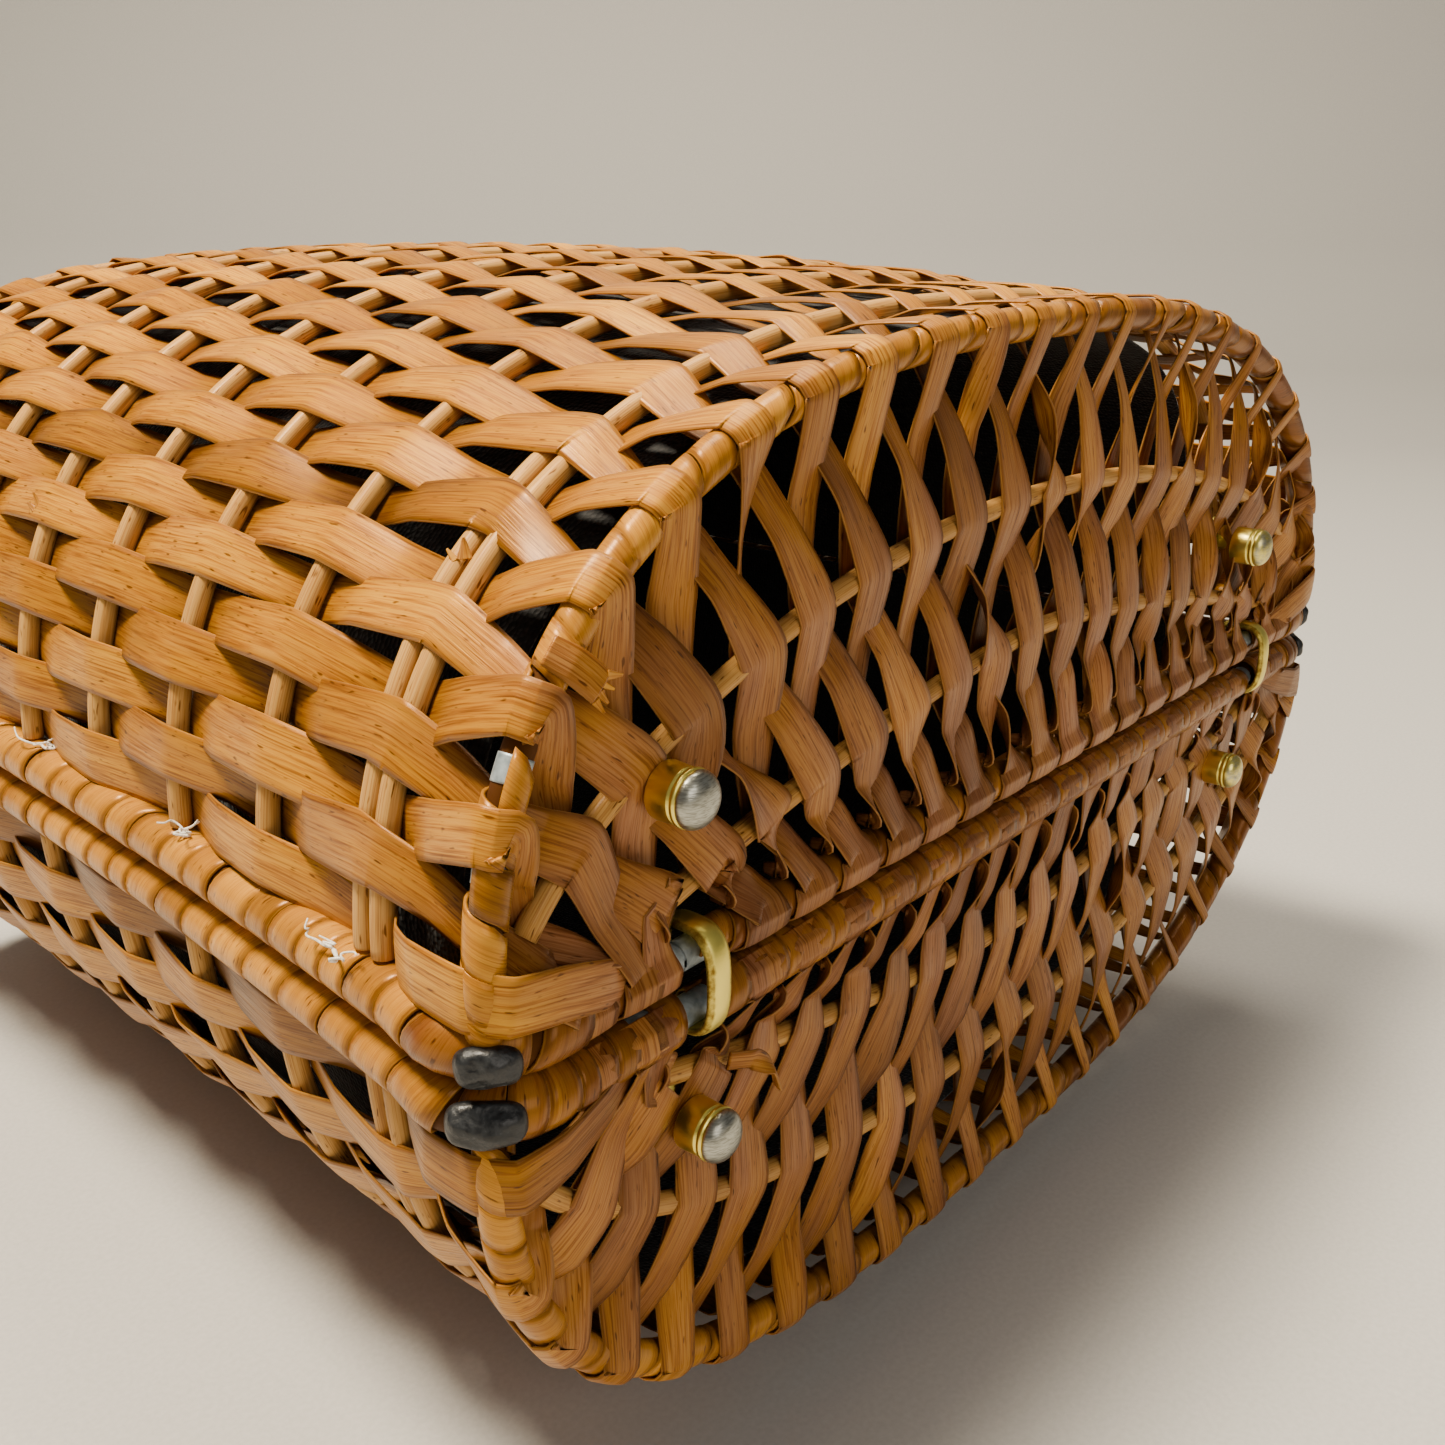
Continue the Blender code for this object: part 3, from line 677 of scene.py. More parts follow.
def lay_ribbon(surface: Surface, rows: Array, tone: float, seed: float, thickness: float, cup: float,
               samples: int = 7) -> None:
    """Sweep a strip's lens section along its knots.

    The section is a flat lens of twelve sides: across = w/2 sgn(cos a) |cos a|^0.7 and
    height = t/2 sgn(sin a) |sin a|^0.5, cupped by the square of its distance from the middle.

    Args:
        surface: receives the strip.
        rows: knots as knot_row makes them.
        tone: shade of the strip, 0 to 1.
        seed: number that sets its grain apart.
        thickness: of the strip.
        cup: drop of its edges.
        samples: rings for each gap between knots.
    """
    fine = smooth_line(rows, samples)
    places = fine[:, :3]
    tangents = unit(np.gradient(places, axis=0))
    normals = fine[:, 3:6] - tangents * np.sum(fine[:, 3:6] * tangents, axis=1, keepdims=True)
    normals = unit(normals)
    across = np.cross(tangents, normals)
    turn = fine[:, 7][:, None]
    lifted = normals * np.cos(turn) + across * np.sin(turn)
    across = across * np.cos(turn) - normals * np.sin(turn)
    a = np.linspace(0, 2 * math.pi, 12, endpoint=False) + math.pi / 12
    c, s = np.cos(a), np.sin(a)
    flat = np.sign(c) * np.abs(c) ** 0.7
    lens = np.sign(s) * np.abs(s) ** 0.5
    half = fine[:, 6][:, None] / 2
    bend = cup * np.minimum(half / 3.5, 1.0) * flat ** 2
    height = lens * np.minimum(thickness, half * 0.8) / 2 - bend
    rings = (places[:, None, :] + across[:, None, :] * (half * flat[None, :])[..., None]
             + lifted[:, None, :] * height[..., None])
    along = arc_length(places)
    grain = np.stack([np.broadcast_to(half * flat[None, :], height.shape) + seed * 37.0,
                      np.broadcast_to(along[:, None], height.shape) + seed * 11.0,
                      np.full(height.shape, seed * 5.0)], axis=-1)
    # column 9 adds the knots' painted shade and painted highlight to the strip's tone
    surface.tube(rings, grain, np.broadcast_to(tone + fine[:, 9][:, None], height.shape),
                 np.broadcast_to(np.abs(flat), height.shape),
                 np.broadcast_to(fine[:, 8][:, None], height.shape))


def knot_row(place: Array, normal: Array, width: float, twist: float, stain: float,
             shade: float) -> Array:
    """One knot of a strip: place (3), normal (3), width, twist, stain and change of tone, mostly painted
    shade or painted highlight.
    """
    return np.concatenate([place, normal, [width, twist, stain, shade]])


# ---- woven strips -------------------------------------------------------------------------------
@dataclass(frozen=True)
class Station:
    """One wire or reed that every strip passes, over or under.

    Arrays hold one row for each strip: the place on the wire's middle, the outward normal and the
    direction along the wire towards the right. Strips that the reed doesn't reach have met False.
    """

    label: str
    place: Array
    normal: Array
    along: Array
    radius: float
    met: Array
    sway: float
    red: float


@dataclass
class StripWeave:
    """The split-willow strips of one half, woven over its hoops and rods from base seam to top seam."""

    shop: Workshop
    half: Half
    strips: int = 44
    per_piece: int = 11
    double_station: int = 5         # number of the splice reed among the stations
    thickness: float = 0.55
    clearance: float = 0.02
    cup: float = 0.15
    body_sway: float = 0.3          # how far strips lean aside at the hoops, mm
    first_sway: float = 2.0         # at the first hoop
    end_sway: float = 3.1           # at the wires of the upper base and of both top faces
    lower_sway: float = 1.9         # at the wires of the lower base
    body_places: tuple[float, ...] = (0.0, 0.28, 0.45, 0.8, 1.0)
    body_widths: tuple[float, ...] = (8.9, 8.6, 7.3, 7.0, 7.6)
    base_places: tuple[float, ...] = (0.0, 0.25, 0.55, 1.0)
    base_widths: tuple[float, ...] = (8.8, 8.6, 7.8, 9.2)
    arch_places: tuple[float, ...] = (0.3, 0.42, 0.5, 0.6, 0.82, 0.9)
    arch_shares: tuple[float, ...] = (1.0, 0.85, 0.62, 0.42, 0.42, 1.0)
    crown_places: tuple[float, ...] = (0.3, 0.42, 0.85, 1.0)
    crown_shares: tuple[float, ...] = (1.0, 0.78, 0.74, 0.95)
    fold_width: float = 7.8         # the widest strip that folds round a wire
    seam_reach: float = 127.0
    rim_core: float = 3.45
    ring_room: tuple[float, float] = (8.6, 6.2)     # from a hinge ring to a fold and to a tucked end
    ring_width: float = 5.6         # the widest strip beside a hinge ring

    @property
    def base_sway(self) -> float:
        """How far the strips lean aside at the wires of the base."""
        return self.end_sway if self.half is Half.UPPER else self.lower_sway

    def shares(self) -> Array:
        """Place of each strip round the arch, from 0 at the left rim to 1 at the right rim."""
        return (np.arange(self.strips) + 0.5) / self.strips

    def full_width(self, share: Array) -> Array:
        """Width of a strip: broad on the near side, slimmer over the crown."""
        return np.interp(share, self.body_places, self.body_widths)

    def station_width(self, label: str, share: float) -> float:
        """Share of the full width near the arch: slimmer over the crown and at the open far end."""
        if label == "base_arch":
            return float(np.interp(share, self.arch_places, self.arch_shares))
        if label in ("stake_1a", "stake_1b", "stake_2"):
            return float(np.interp(share, self.crown_places, self.crown_shares))
        return 1.0

    def hoop_station(self, label: str, y: float, length: float, depth: float, lean: float,
                     radius: float, sway: float, red: float) -> Station:
        """A station on an arch, with its strips at equal distances along the arch."""
        form = self.shop.form
        start = form.skin_start + (0.4 if radius > 2 else 0.0)
        points, normals, tangents = form.arch(y, length, depth, lean, start)
        along = np.linspace(0, 1, len(points))
        share = self.shares()
        place = sample(points, along, share)
        met = np.ones(self.strips, bool)
        if label == "stake_1b":
            met = place[:, 0] < -length * math.cos(form.splice_end) ** (2 / form.roundness)
        return Station(label, place, unit(sample(normals, along, share)),
                       unit(sample(tangents, along, share)), radius, met, sway, red)

    def rod_station(self, label: str, foot: Array, head: Array, rod: Array, facing: float,
                    red: float) -> Station:
        """A station on a rod of the base or top face, where each strip's straight line crosses it."""
        form = self.shop.form
        t = np.linspace(0, 1, 240)[None, :, None]
        lines = foot[:, None, :] * (1 - t) + head[:, None, :] * t
        rod_z = np.interp(lines[..., 0], rod[:, 0], rod[:, 2], left=-1.0, right=-1.0)
        above = lines[..., 2] > rod_z
        inside = rod_z > 0
        crossing = above[:, 1:] & ~above[:, :-1] & inside[:, 1:] & inside[:, :-1]
        met = crossing.any(axis=1)
        index = np.argmax(crossing, axis=1)
        place = lines[np.arange(len(lines)), index]
        ahead = np.stack([np.interp(place[:, 0] + 1, rod[:, 0], rod[:, k]) for k in range(3)], axis=1)
        here = np.stack([np.interp(place[:, 0], rod[:, 0], rod[:, k]) for k in range(3)], axis=1)
        lean = form.base_lean if facing < 0 else 0.0
        normal = np.broadcast_to(unit(np.array([0.0, -1.0, lean])) * -facing, place.shape)
        return Station(label, here, normal, unit(ahead - here), form.reed_radius, met, self.base_sway, red)

    def stations(self) -> list[Station]:
        """Every wire and reed in the order that a strip meets them, from the base rim to the top rim."""
        form = self.shop.form
        arch = self.hoop_station("base_arch", 0.0, form.base_half_length, form.base_half_depth,
                                 form.base_lean, form.arch_radius, self.base_sway, 0.45)
        seam_x = (self.shares() * 2 - 1) * self.seam_reach
        foot = np.stack([seam_x, np.zeros_like(seam_x), np.full_like(seam_x, form.rim_lift)], axis=1)
        inner, outer = form.base_rod(form.inner_rod), form.base_rod(form.outer_rod)
        found = [self.rim_station("base_rim", foot, -1.0),
                 self.rod_station("base_inner", foot, arch.place, inner, -1.0, 0.85),
                 self.rod_station("base_outer", foot, arch.place, outer, -1.0, 0.8), arch]
        for name, y in form.hoops():
            sway = self.first_sway if name.startswith("stake_1") else self.body_sway
            found.append(self.hoop_station(name, y, float(form.half_length(y)), float(form.half_depth(y)),
                                           0.0, form.reed_radius, sway, 0.12))
        top = self.hoop_station("top_arch", form.top_y, form.top_half_length, form.top_depth, 0.0,
                                form.arch_radius, self.end_sway, 0.3)
        top_x = seam_x * (form.top_half_length - form.rim_top_corner) / self.seam_reach
        head = np.stack([top_x, np.full_like(top_x, form.top_y), np.full_like(top_x, form.rim_lift)], axis=1)
        found.append(top)
        for name, spec in (("outer", form.outer_rod), ("inner", form.inner_rod)):
            found.append(self.rod_station("top_" + name, head, top.place, form.top_rod(spec), 1.0, 0.7))
        found.append(self.rim_station("top_rim", head, 1.0))
        return found

    def rim_station(self, label: str, foot: Array, facing: float) -> Station:
        """The rim at one end: strips wrap over it or pass behind it."""
        normal = np.broadcast_to(np.array([0.0, facing, 0.0]), foot.shape)
        along = np.broadcast_to(np.array([1.0, 0.0, 0.0]), foot.shape)
        return Station(label, foot, normal, along, self.rim_core, np.ones(self.strips, bool), 0.0, 0.9)

    def knots(self, index: int, stations: list[Station], rng: np.random.Generator) -> Array:
        """Knots of one strip: place, normal, width, twist and stain, at each station and between them.

        Args:
            index: the strip's number.
            stations: what it passes.
            rng: source of its small irregularities.

        Returns:
            Rows as knot_row makes them: the crests are painted paler, partly wear and partly painted
                highlight,
            and the places under a wire are painted darker, as painted shade.
        """
        share = (index + 0.5) / self.strips
        full = float(self.full_width(np.array(share)))
        rows: list[Array] = []
        drift = 0.0
        corner = index in (0, self.strips - 1)
        if corner:
            rows += self.corner_rows(-1.0 if index == 0 else 1.0)
        for number, station in enumerate(stations):
            if not station.met[index] or (corner and "base" in station.label):
                continue
            # the first hoop is double, and its two reeds count as one
            order = number if number < self.double_station else number - 1
            over = 1.0 if (index + order) % 2 else -1.0
            drift = 0.6 * drift + rng.normal(0, 0.35)
            end = "base" in station.label or "top" in station.label
            reach = station.radius + self.thickness / 2 + self.clearance
            place = station.place[index] + station.along[index] * (station.sway * over + drift)
            normal = station.normal[index]
            width = full * (0.98 + 0.04 * over + rng.normal(0, 0.05))
            width *= self.station_width(station.label, share)
            twist = rng.normal(0, 0.05)
            if station.label.endswith("arch"):
                if rows and station.label == "base_arch":
                    rows.append(self.between(rows[-1], place, normal, width, station.red, True, rng))
                rows += self.arch_rows(station, index, place, over, width, reach)
                continue
            if station.label.endswith("rim"):
                rows += self.rim_rows(station, index, over, width, rng)
                continue
            if end:
                squeezed = rng.uniform(1.06, 1.2) if over > 0 else rng.uniform(0.55, 0.78)
                width = float(np.interp(share, self.base_places, self.base_widths)) * squeezed
            if rows and station.label != "stake_1b":
                rows.append(self.between(rows[-1], place, normal, width, station.red, end, rng))
            # painted shade where the strip dips under a wire; the crest over one gets a paler tone, partly
            # wear and partly painted highlight
            shade = 0.12 if over > 0 else -0.32
            rows.append(knot_row(place + normal * reach * over, normal, width, twist, station.red, shade))
        return np.stack(rows)

    def between(self, last: Array, place: Array, normal: Array, width: float, red: float, end: bool,
                rng: np.random.Generator) -> Array:
        """The knot half way between two stations, where a strip crosses the woven surface.

        Its width there is the mean of its neighbours'. Across the base and the top face, where the strips
        are squeezed under each wire and spread over it, a few also turn edge-on.
        """
        narrow, twist = rng.uniform(0.97, 1.03), rng.normal(0.08, 0.08)
        if end:
            narrow, twist = rng.uniform(0.9, 1.0), rng.normal(0, 0.16)
            if rng.random() < (0.2 if self.half is Half.UPPER else 0.1):
                narrow, twist = rng.uniform(0.6, 0.8), rng.choice((-1.0, 1.0)) * rng.uniform(0.7, 1.2)
        # a slightly darker tone between stations, painted shade
        return knot_row((last[:3] + place) / 2, unit(last[3:6] + normal), (last[6] + width) / 2 * narrow,
                        twist, (last[8] + red) / 2, -0.05)

    def corner_rows(self, side: float) -> list[Array]:
        """Knots of a broad strip round the foot of the base arch, which ends under the rim's skein.

        Its route is listed: each row is a place from the corner, an outward normal for the left
        corner, a width and a stain.
        """
        length = self.shop.form.base_half_length
        route = ((-24.0, -1.4, 6.0, 0.0, -1.0, 0.1, 4.5, 0.9), (-17.0, -3.2, 8.6, 0.0, -1.0, 0.2, 6.4, 0.8),
                 (-8.5, -4.1, 11.2, -0.15, -0.98, 0.1, 7.4, 0.55),
                 (-1.2, -3.4, 12.4, -0.55, -0.83, 0.0, 8.2, 0.2),
                 (2.0, 1.8, 12.8, -0.97, -0.25, 0.0, 9.0, 0.0), (1.8, 11.0, 13.0, -1.0, 0.0, 0.0, 8.8, 0.0))
        return [knot_row(np.array([side * (length + x), y, z]), np.array([-side * nx, ny, nz]), width, 0.0,
                         red, 0.15)
                for x, y, z, nx, ny, nz, width, red in route]

    def arch_rows(self, station: Station, index: int, place: Array, over: float, width: float,
                  reach: float) -> list[Array]:
        """Knots round the arch: over it in three steps, or inside its corner in one."""
        radial = station.normal[index]
        facing = -1.0 if "base" in station.label else 1.0
        outward = np.array([0.0, facing, 0.0])
        wide = min(width, self.fold_width)
        # over the arch the tone is painted a little paler, partly painted highlight; inside its corner it is
        # painted darker, as painted shade
        if over > 0:
            steps = [unit(outward + 0.15 * radial), unit(outward + radial), unit(radial + 0.1 * outward)]
            if facing > 0:
                steps = steps[::-1]
            return [knot_row(place + n * reach, n, wide * 0.95, 0.0, red, 0.1)
                    for n, red in zip(steps, (0.6, 0.35, 0.2))]
        n = unit(outward + radial)
        return [knot_row(place - n * reach, n, wide * 0.8, 0.0, 0.5, -0.3)]

    def rim_rows(self, station: Station, index: int, over: float, width: float,
                 rng: np.random.Generator) -> list[Array]:
        """Knots at a rim: a broad fold wrapped over it into the seam, or a twisted end tucked behind it."""
        facing = -1.0 if "base" in station.label else 1.0
        out, up = np.array([0.0, facing, 0.0]), np.array([0.0, 0.0, 1.0])
        place = station.place[index] + np.array([rng.normal(0, 0.5), 0.0, 0.0])
        if facing < 0:
            aside = self.beside_ring(place, self.ring_room[0] if over > 0 else self.ring_room[1])
            width = width if aside is place else min(width, self.ring_width)
            place = aside
        if over > 0:
            reach = self.rim_core + self.thickness / 2
            rows = []
            for angle in (-1.35, -0.6, 0.15, 0.85):
                n = out * math.cos(angle) + up * math.sin(angle)
                fold = min(width, self.fold_width) * (1.28 if angle < 0.5 else 1.1)
                rows.append(knot_row(place + n * reach, n, fold, 0.0, 0.9, 0.0))
        else:
            twist = rng.uniform(0.9, 1.4)
            n = unit(out + 0.2 * up)
            deep = place - out * (self.rim_core - 1.5) + up * 5.0
            tuck = place + out * (self.rim_core * 0.45) + up * (self.rim_core + 2.2)
            # painted shade: the ends tucked behind the rim get a darker tone
            rows = [knot_row(deep, n, 1.6, twist, 0.9, -0.3), knot_row(tuck, n, 3.0, twist, 0.9, -0.1)]
        if facing < 0 and abs(abs(place[0]) - self.shop.form.ring_x) < 9.0:
            upright = place + out * 1.2 + up * 8.6
            rows.append(knot_row(upright, out, 4.4, 0.3, 0.9, 0.0))
        return rows if facing < 0 else rows[::-1]

    def beside_ring(self, place: Array, room: float) -> Array:
        """The place on the base rim moved sideways until it is at least `room` from the hinge ring."""
        ring_x = self.shop.form.ring_x
        beyond = abs(place[0]) - ring_x
        if abs(beyond) >= room:
            return place
        moved = math.copysign(ring_x + (room if beyond > -3.0 else -room), place[0])
        return np.array([moved, place[1], place[2]])

    def build(self) -> None:
        """Weave all strips and hand them over in groups."""
        rng = np.random.default_rng(11 if self.half is Half.UPPER else 23)
        stations = self.stations()
        first = True
        for start in range(0, self.strips, self.per_piece):
            surface = Surface()
            for index in range(start, min(start + self.per_piece, self.strips)):
                rows = self.knots(index, stations, rng)
                shade = float(np.clip(rng.normal(0.5, 0.2), 0.05, 0.98))
                lay_ribbon(surface, rows, shade, index + 1.0, self.thickness, self.cup)
            name = f"{self.half.label}_strips_{start // self.per_piece + 1}"
            obj = surface.build(name, self.shop.placement, self.half.side)
            nodes = (f"{self.half.label}_weave",) if first else ()
            self.shop.hand_over(obj, self.shop.finishes.strip, self.half.body, Slot.STRIPS, *nodes)
            first = False


# ---- wound wires --------------------------------------------------------------------------------
@dataclass(frozen=True)
class Winding:
    """How skein is wound on a wire: distances in millimetres."""

    radius: float
    pitch: float
    irregular: float = 0.2
    thickness: float = 0.45
    shingle: float = 0.1
    crown: float = 0.05
    tightness: tuple[float, float] = (0.95, 1.02)
    sides: int = 20


@dataclass
class WoundWire:
    """A wire with its skein: each turn is a ribbon on a helix whose far edge rides on the next turn."""

    points: Array
    plane: Array
    winding: Winding
    seed: int
    bare: tuple[tuple[float, float], ...] = ()
    pitches: Array | None = None
    slimmer: Array | None = None
    hand: float = 1.0

    def turn_places(self, rng: np.random.Generator, along: Array) -> Array:
        """Distance along the wire at which each turn starts."""
        pitches = np.full(len(along), self.winding.pitch) if self.pitches is None else self.pitches
        places = [0.0]
        while places[-1] < along[-1]:
            step = float(np.interp(places[-1], along, pitches))
            places.append(places[-1] + step * (1 + self.winding.irregular * rng.uniform(-1, 1)))
        return np.array(places) / places[-1] * along[-1]

    def wind(self, surface: Surface, red: Array) -> None:
        """Wind the whole wire, leaving the bare stretches open.

        A point of a turn is wire(s + v w) + r(v) (first cos a + second sin a), where a is the angle
        wound, s grows with it, v runs across the ribbon and r(v) rises to the far edge.
        """
        w = self.winding
        rng = np.random.default_rng(self.seed)
        along = arc_length(self.points)
        first, second = path_frames(self.points, self.plane)
        starts = self.turn_places(rng, along)
        turns = len(starts) - 1
        angle = np.linspace(0, turns, turns * w.sides + 1)
        centre = np.interp(angle, np.arange(turns + 1), starts)
        pitch = np.gradient(centre, angle)
        lift = np.interp(angle, np.arange(turns + 1), rng.normal(0, 0.05, turns + 1))
        slack = np.interp(angle, np.arange(turns + 1), rng.uniform(*w.tightness, turns + 1))
        tone = np.interp(angle, np.arange(turns + 1), rng.normal(0.55, 0.16, turns + 1))
        v = np.array([-0.5, -0.25, 0.0, 0.25, 0.5, 0.5, 0.25, 0.0, -0.25, -0.5])
        outer = np.array([1, 1, 1, 1, 1, 0, 0, 0, 0, 0], float)
        crown = w.crown * (1 - (2 * v) ** 2)
        section = w.radius - w.thickness * (1 - outer) + w.shingle * (v + 0.5) + crown
        height = section[None, :] + lift[:, None]
        if self.slimmer is not None:
            height = height - np.interp(centre, along, self.slimmer)[:, None]
        place = centre[:, None] + v[None, :] * (pitch * slack)[:, None]
        inside = np.clip(place, 0.0, along[-1])
        spot = sample(self.points, along, inside.ravel()).reshape(*inside.shape, 3)
        axis_1 = unit(sample(first, along, inside.ravel())).reshape(*inside.shape, 3)
        axis_2 = unit(sample(second, along, inside.ravel())).reshape(*inside.shape, 3)
        turn = 2 * math.pi * angle[:, None, None] * self.hand
        rings = spot + height[..., None] * (axis_1 * np.cos(turn) + axis_2 * np.sin(turn))
        run = np.broadcast_to((angle * 2 * math.pi * w.radius)[:, None], height.shape)
        grain = np.stack([place - centre[:, None] + self.seed * 13.0, run,
                          np.full(height.shape, float(self.seed))], axis=-1)
        stain = np.interp(centre, along, red)
        edge = np.broadcast_to(np.abs(2 * v), height.shape)
        if self.hand < 0:
            rings, grain, edge = rings[:, ::-1], grain[:, ::-1], edge[:, ::-1]
        kept = np.ones(len(centre), bool)
        for low, high in self.bare:
            kept &= (centre < low) | (centre > high)
        for run_index in np.split(np.arange(len(centre)), np.where(np.diff(kept.astype(int)) != 0)[0] + 1):
            if kept[run_index[0]] and len(run_index) > w.sides // 2:
                surface.tube(rings[run_index], grain[run_index], tone[run_index][:, None], edge[run_index],
                             stain[run_index][:, None])

    def core(self, surface: Surface, radius: Array | float, sides: int = 14) -> None:
        """The bare wire inside."""
        first, second = path_frames(self.points, self.plane)
        rings = round_rings(self.points, first, second, radius, sides)
        surface.tube(rings, np.zeros_like(rings), 0.3)


@dataclass
class WireFrame:
    """Rims, arches and handles of one half."""

    shop: Workshop
    half: Half
    ring_gap: float = 2.7           # of bare wire on each side of a hinge ring's middle, mm
    neck: float = 1.45              # how much slimmer the rim is there
    rim_winding: Winding = Winding(radius=4.15, pitch=8.6, irregular=0.3)
    base_winding: Winding = Winding(radius=2.6, pitch=7.0, irregular=0.3)
    top_winding: Winding = Winding(radius=2.35, pitch=7.5, irregular=0.25)
    handle_winding: Winding = Winding(radius=3.3, pitch=4.8, irregular=0.12)
    worn_arch: tuple[tuple[float, float], ...] = ((22.6, 25.0), (34.2, 36.4), (40.0, 42.6))
    handle_half_length: float = 48.0
    handle_rise: float = 60.0
    handle_roundness: float = 2.4
    skein_gap: float = 0.1          # between a winding and its core
    sleeve_lift: float = 0.14       # of bare wire over the core, which is painted dark as shade
    sleeve_reach: float = 0.6       # of bare wire under the skein beside it

    @property
    def worn_rim(self) -> tuple[float, float]:
        """Where the rim's skein is worn through, along it from the middle of the base."""
        return (-102.4, -99.9) if self.half is Half.UPPER else (-107.9, -105.2)

    def wound(self, label: str, points: Array, plane: Array, winding: Winding, seed: int, red: Array,
              bare: tuple[tuple[float, float], ...] = (), pitches: Array | None = None,
              slimmer: Array | None = None) -> None:
        """Make one wound wire as its skein and its core."""
        hand = -1.0 if self.half is Half.UPPER else 1.0
        wire = WoundWire(points, plane, winding, seed, bare, pitches, slimmer, hand)
        skein = Surface()
        wire.wind(skein, red)
        obj = skein.build(f"{self.half.label}_{label}_skein", self.shop.placement, self.half.side)
        self.shop.hand_over(obj, self.shop.finishes.skein, self.half.body, Slot.SKEIN,
                            f"{self.half.label}_{label}")
        radius = np.broadcast_to(winding.radius - winding.thickness - self.skein_gap
                                 - (0.0 if slimmer is None else slimmer), (len(points),))
        # the core takes the dark finish: painted shade in the slits between turns
        self.rod("core", label, wire, radius, self.shop.finishes.shaded)
        along = arc_length(points)
        for number, (low, high) in enumerate(bare):
            inside = np.linspace(low - self.sleeve_reach, high + self.sleeve_reach, 12)
            part = WoundWire(sample(points, along, inside), plane, winding, seed)
            self.rod(f"bare_{number + 1}", label, part, np.interp(inside, along, radius) + self.sleeve_lift,
                     self.shop.finishes.wire)

    def rod(self, what: str, label: str, wire: WoundWire, radius: Array,
            finish: bpy.types.Material) -> None:
        """The wire inside a winding, or a stretch of it that shows."""
        surface = Surface()
        wire.core(surface, radius)
        obj = surface.build(f"{self.half.label}_{label}_{what}", self.shop.placement, self.half.side)
        self.shop.hand_over(obj, finish, self.half.body, Slot.SKEIN)

    def build(self) -> None:
        """Make the rim, both arches and the handle."""
        seed = 100 if self.half is Half.UPPER else 200
        self.rim(seed)
        self.base_arch(seed + 1)
        self.top_arch(seed + 2)
        self.handle(seed + 3)

    def rim(self, seed: int) -> None:
        """The rim: closer turns along the base, slim where the strips fold over it, bare at the rings."""
        form = self.shop.form
        upper = self.half is Half.UPPER
        rim = form.rim()
        base = rim[:, 1] < form.rim_base_corner
        red = np.where(base, 0.8, 0.0)
        pitches = np.where(base, 6.0 if upper else 4.2, self.rim_winding.pitch)
        neck = base & (np.abs(np.abs(rim[:, 0]) - form.ring_x) < self.ring_gap + 1.0)
        straight = base & (np.abs(rim[:, 0]) < form.base_half_length - 14.0)
        slimmer = np.where(straight, 1.1 if upper else 0.4, 0.0)
        slimmer = np.where(neck, self.neck, slimmer)
        total = float(arc_length(rim)[-1])
        spots = [(ring - self.ring_gap, ring + self.ring_gap) for ring in (form.ring_x, total - form.ring_x)]
        spots.append((total + self.worn_rim[0], total + self.worn_rim[1]))
        self.wound("rim", rim + np.array([0.0, 0.0, form.rim_lift]), np.array([0.0, 0.0, 1.0]),
                   self.rim_winding, seed, red, tuple(spots), pitches, slimmer)

    def base_arch(self, seed: int) -> None:
        """The base arch: fine and golden at the near end, coarse and dark at the far one.

        Its feet sink inwards to pass behind the rim.
        """
        form = self.shop.form
        points, _, _ = form.arch(0.0, form.base_half_length, form.base_half_depth, form.base_lean, 4.9)
        sink = np.clip((16.0 - points[:, 2]) / 11.0, 0, 1) ** 2 * 2.2
        points = points + np.stack([-np.sign(points[:, 0]) * sink, sink, 0 * sink], axis=1)
        plane = unit(np.array([0.0, -1.0, form.base_lean]))
        dark = np.interp(points[:, 0], (-100.0, 0.0, 90.0), (0.1, 0.5, 1.0))
        coarse = np.interp(points[:, 0], (-110.0, 0.0, 60.0), (6.5, 9.0, 13.0))
        thick = np.interp(points[:, 0], (-100.0, 0.0, 90.0), (0.0, -0.15, -0.35))
        self.wound("base_arch", points, plane, self.base_winding, seed, dark,
                   self.worn_arch if self.half is Half.UPPER else (), coarse, thick)

    def top_arch(self, seed: int) -> None:
        """The top arch, evenly wound."""
        form = self.shop.form
        points, _, _ = form.arch(form.top_y, form.top_half_length, form.top_depth, 0.0, 5.5)
        self.wound("top_arch", points, np.array([0.0, 1.0, 0.0]), self.top_winding, seed,
                   np.full(len(points), 0.2))

    def handle(self, seed: int) -> None:
        """The wound handle: a superellipse bow on the top rim."""
        form = self.shop.form
        foot = form.top_y + form.rim_radius + 0.3
        a = np.linspace(0, math.pi, 240)
        power = 2 / self.handle_roundness
        x = -self.handle_half_length * np.sign(np.cos(a)) * np.abs(np.cos(a)) ** power
        y = foot + self.handle_rise * np.sin(a) ** power
        points = resample(np.stack([x, y, np.full_like(x, form.rim_lift)], axis=1), 400)
        self.wound("handle", points, np.array([0.0, 0.0, 1.0]), self.handle_winding, seed,
                   np.full(len(points), 0.1))


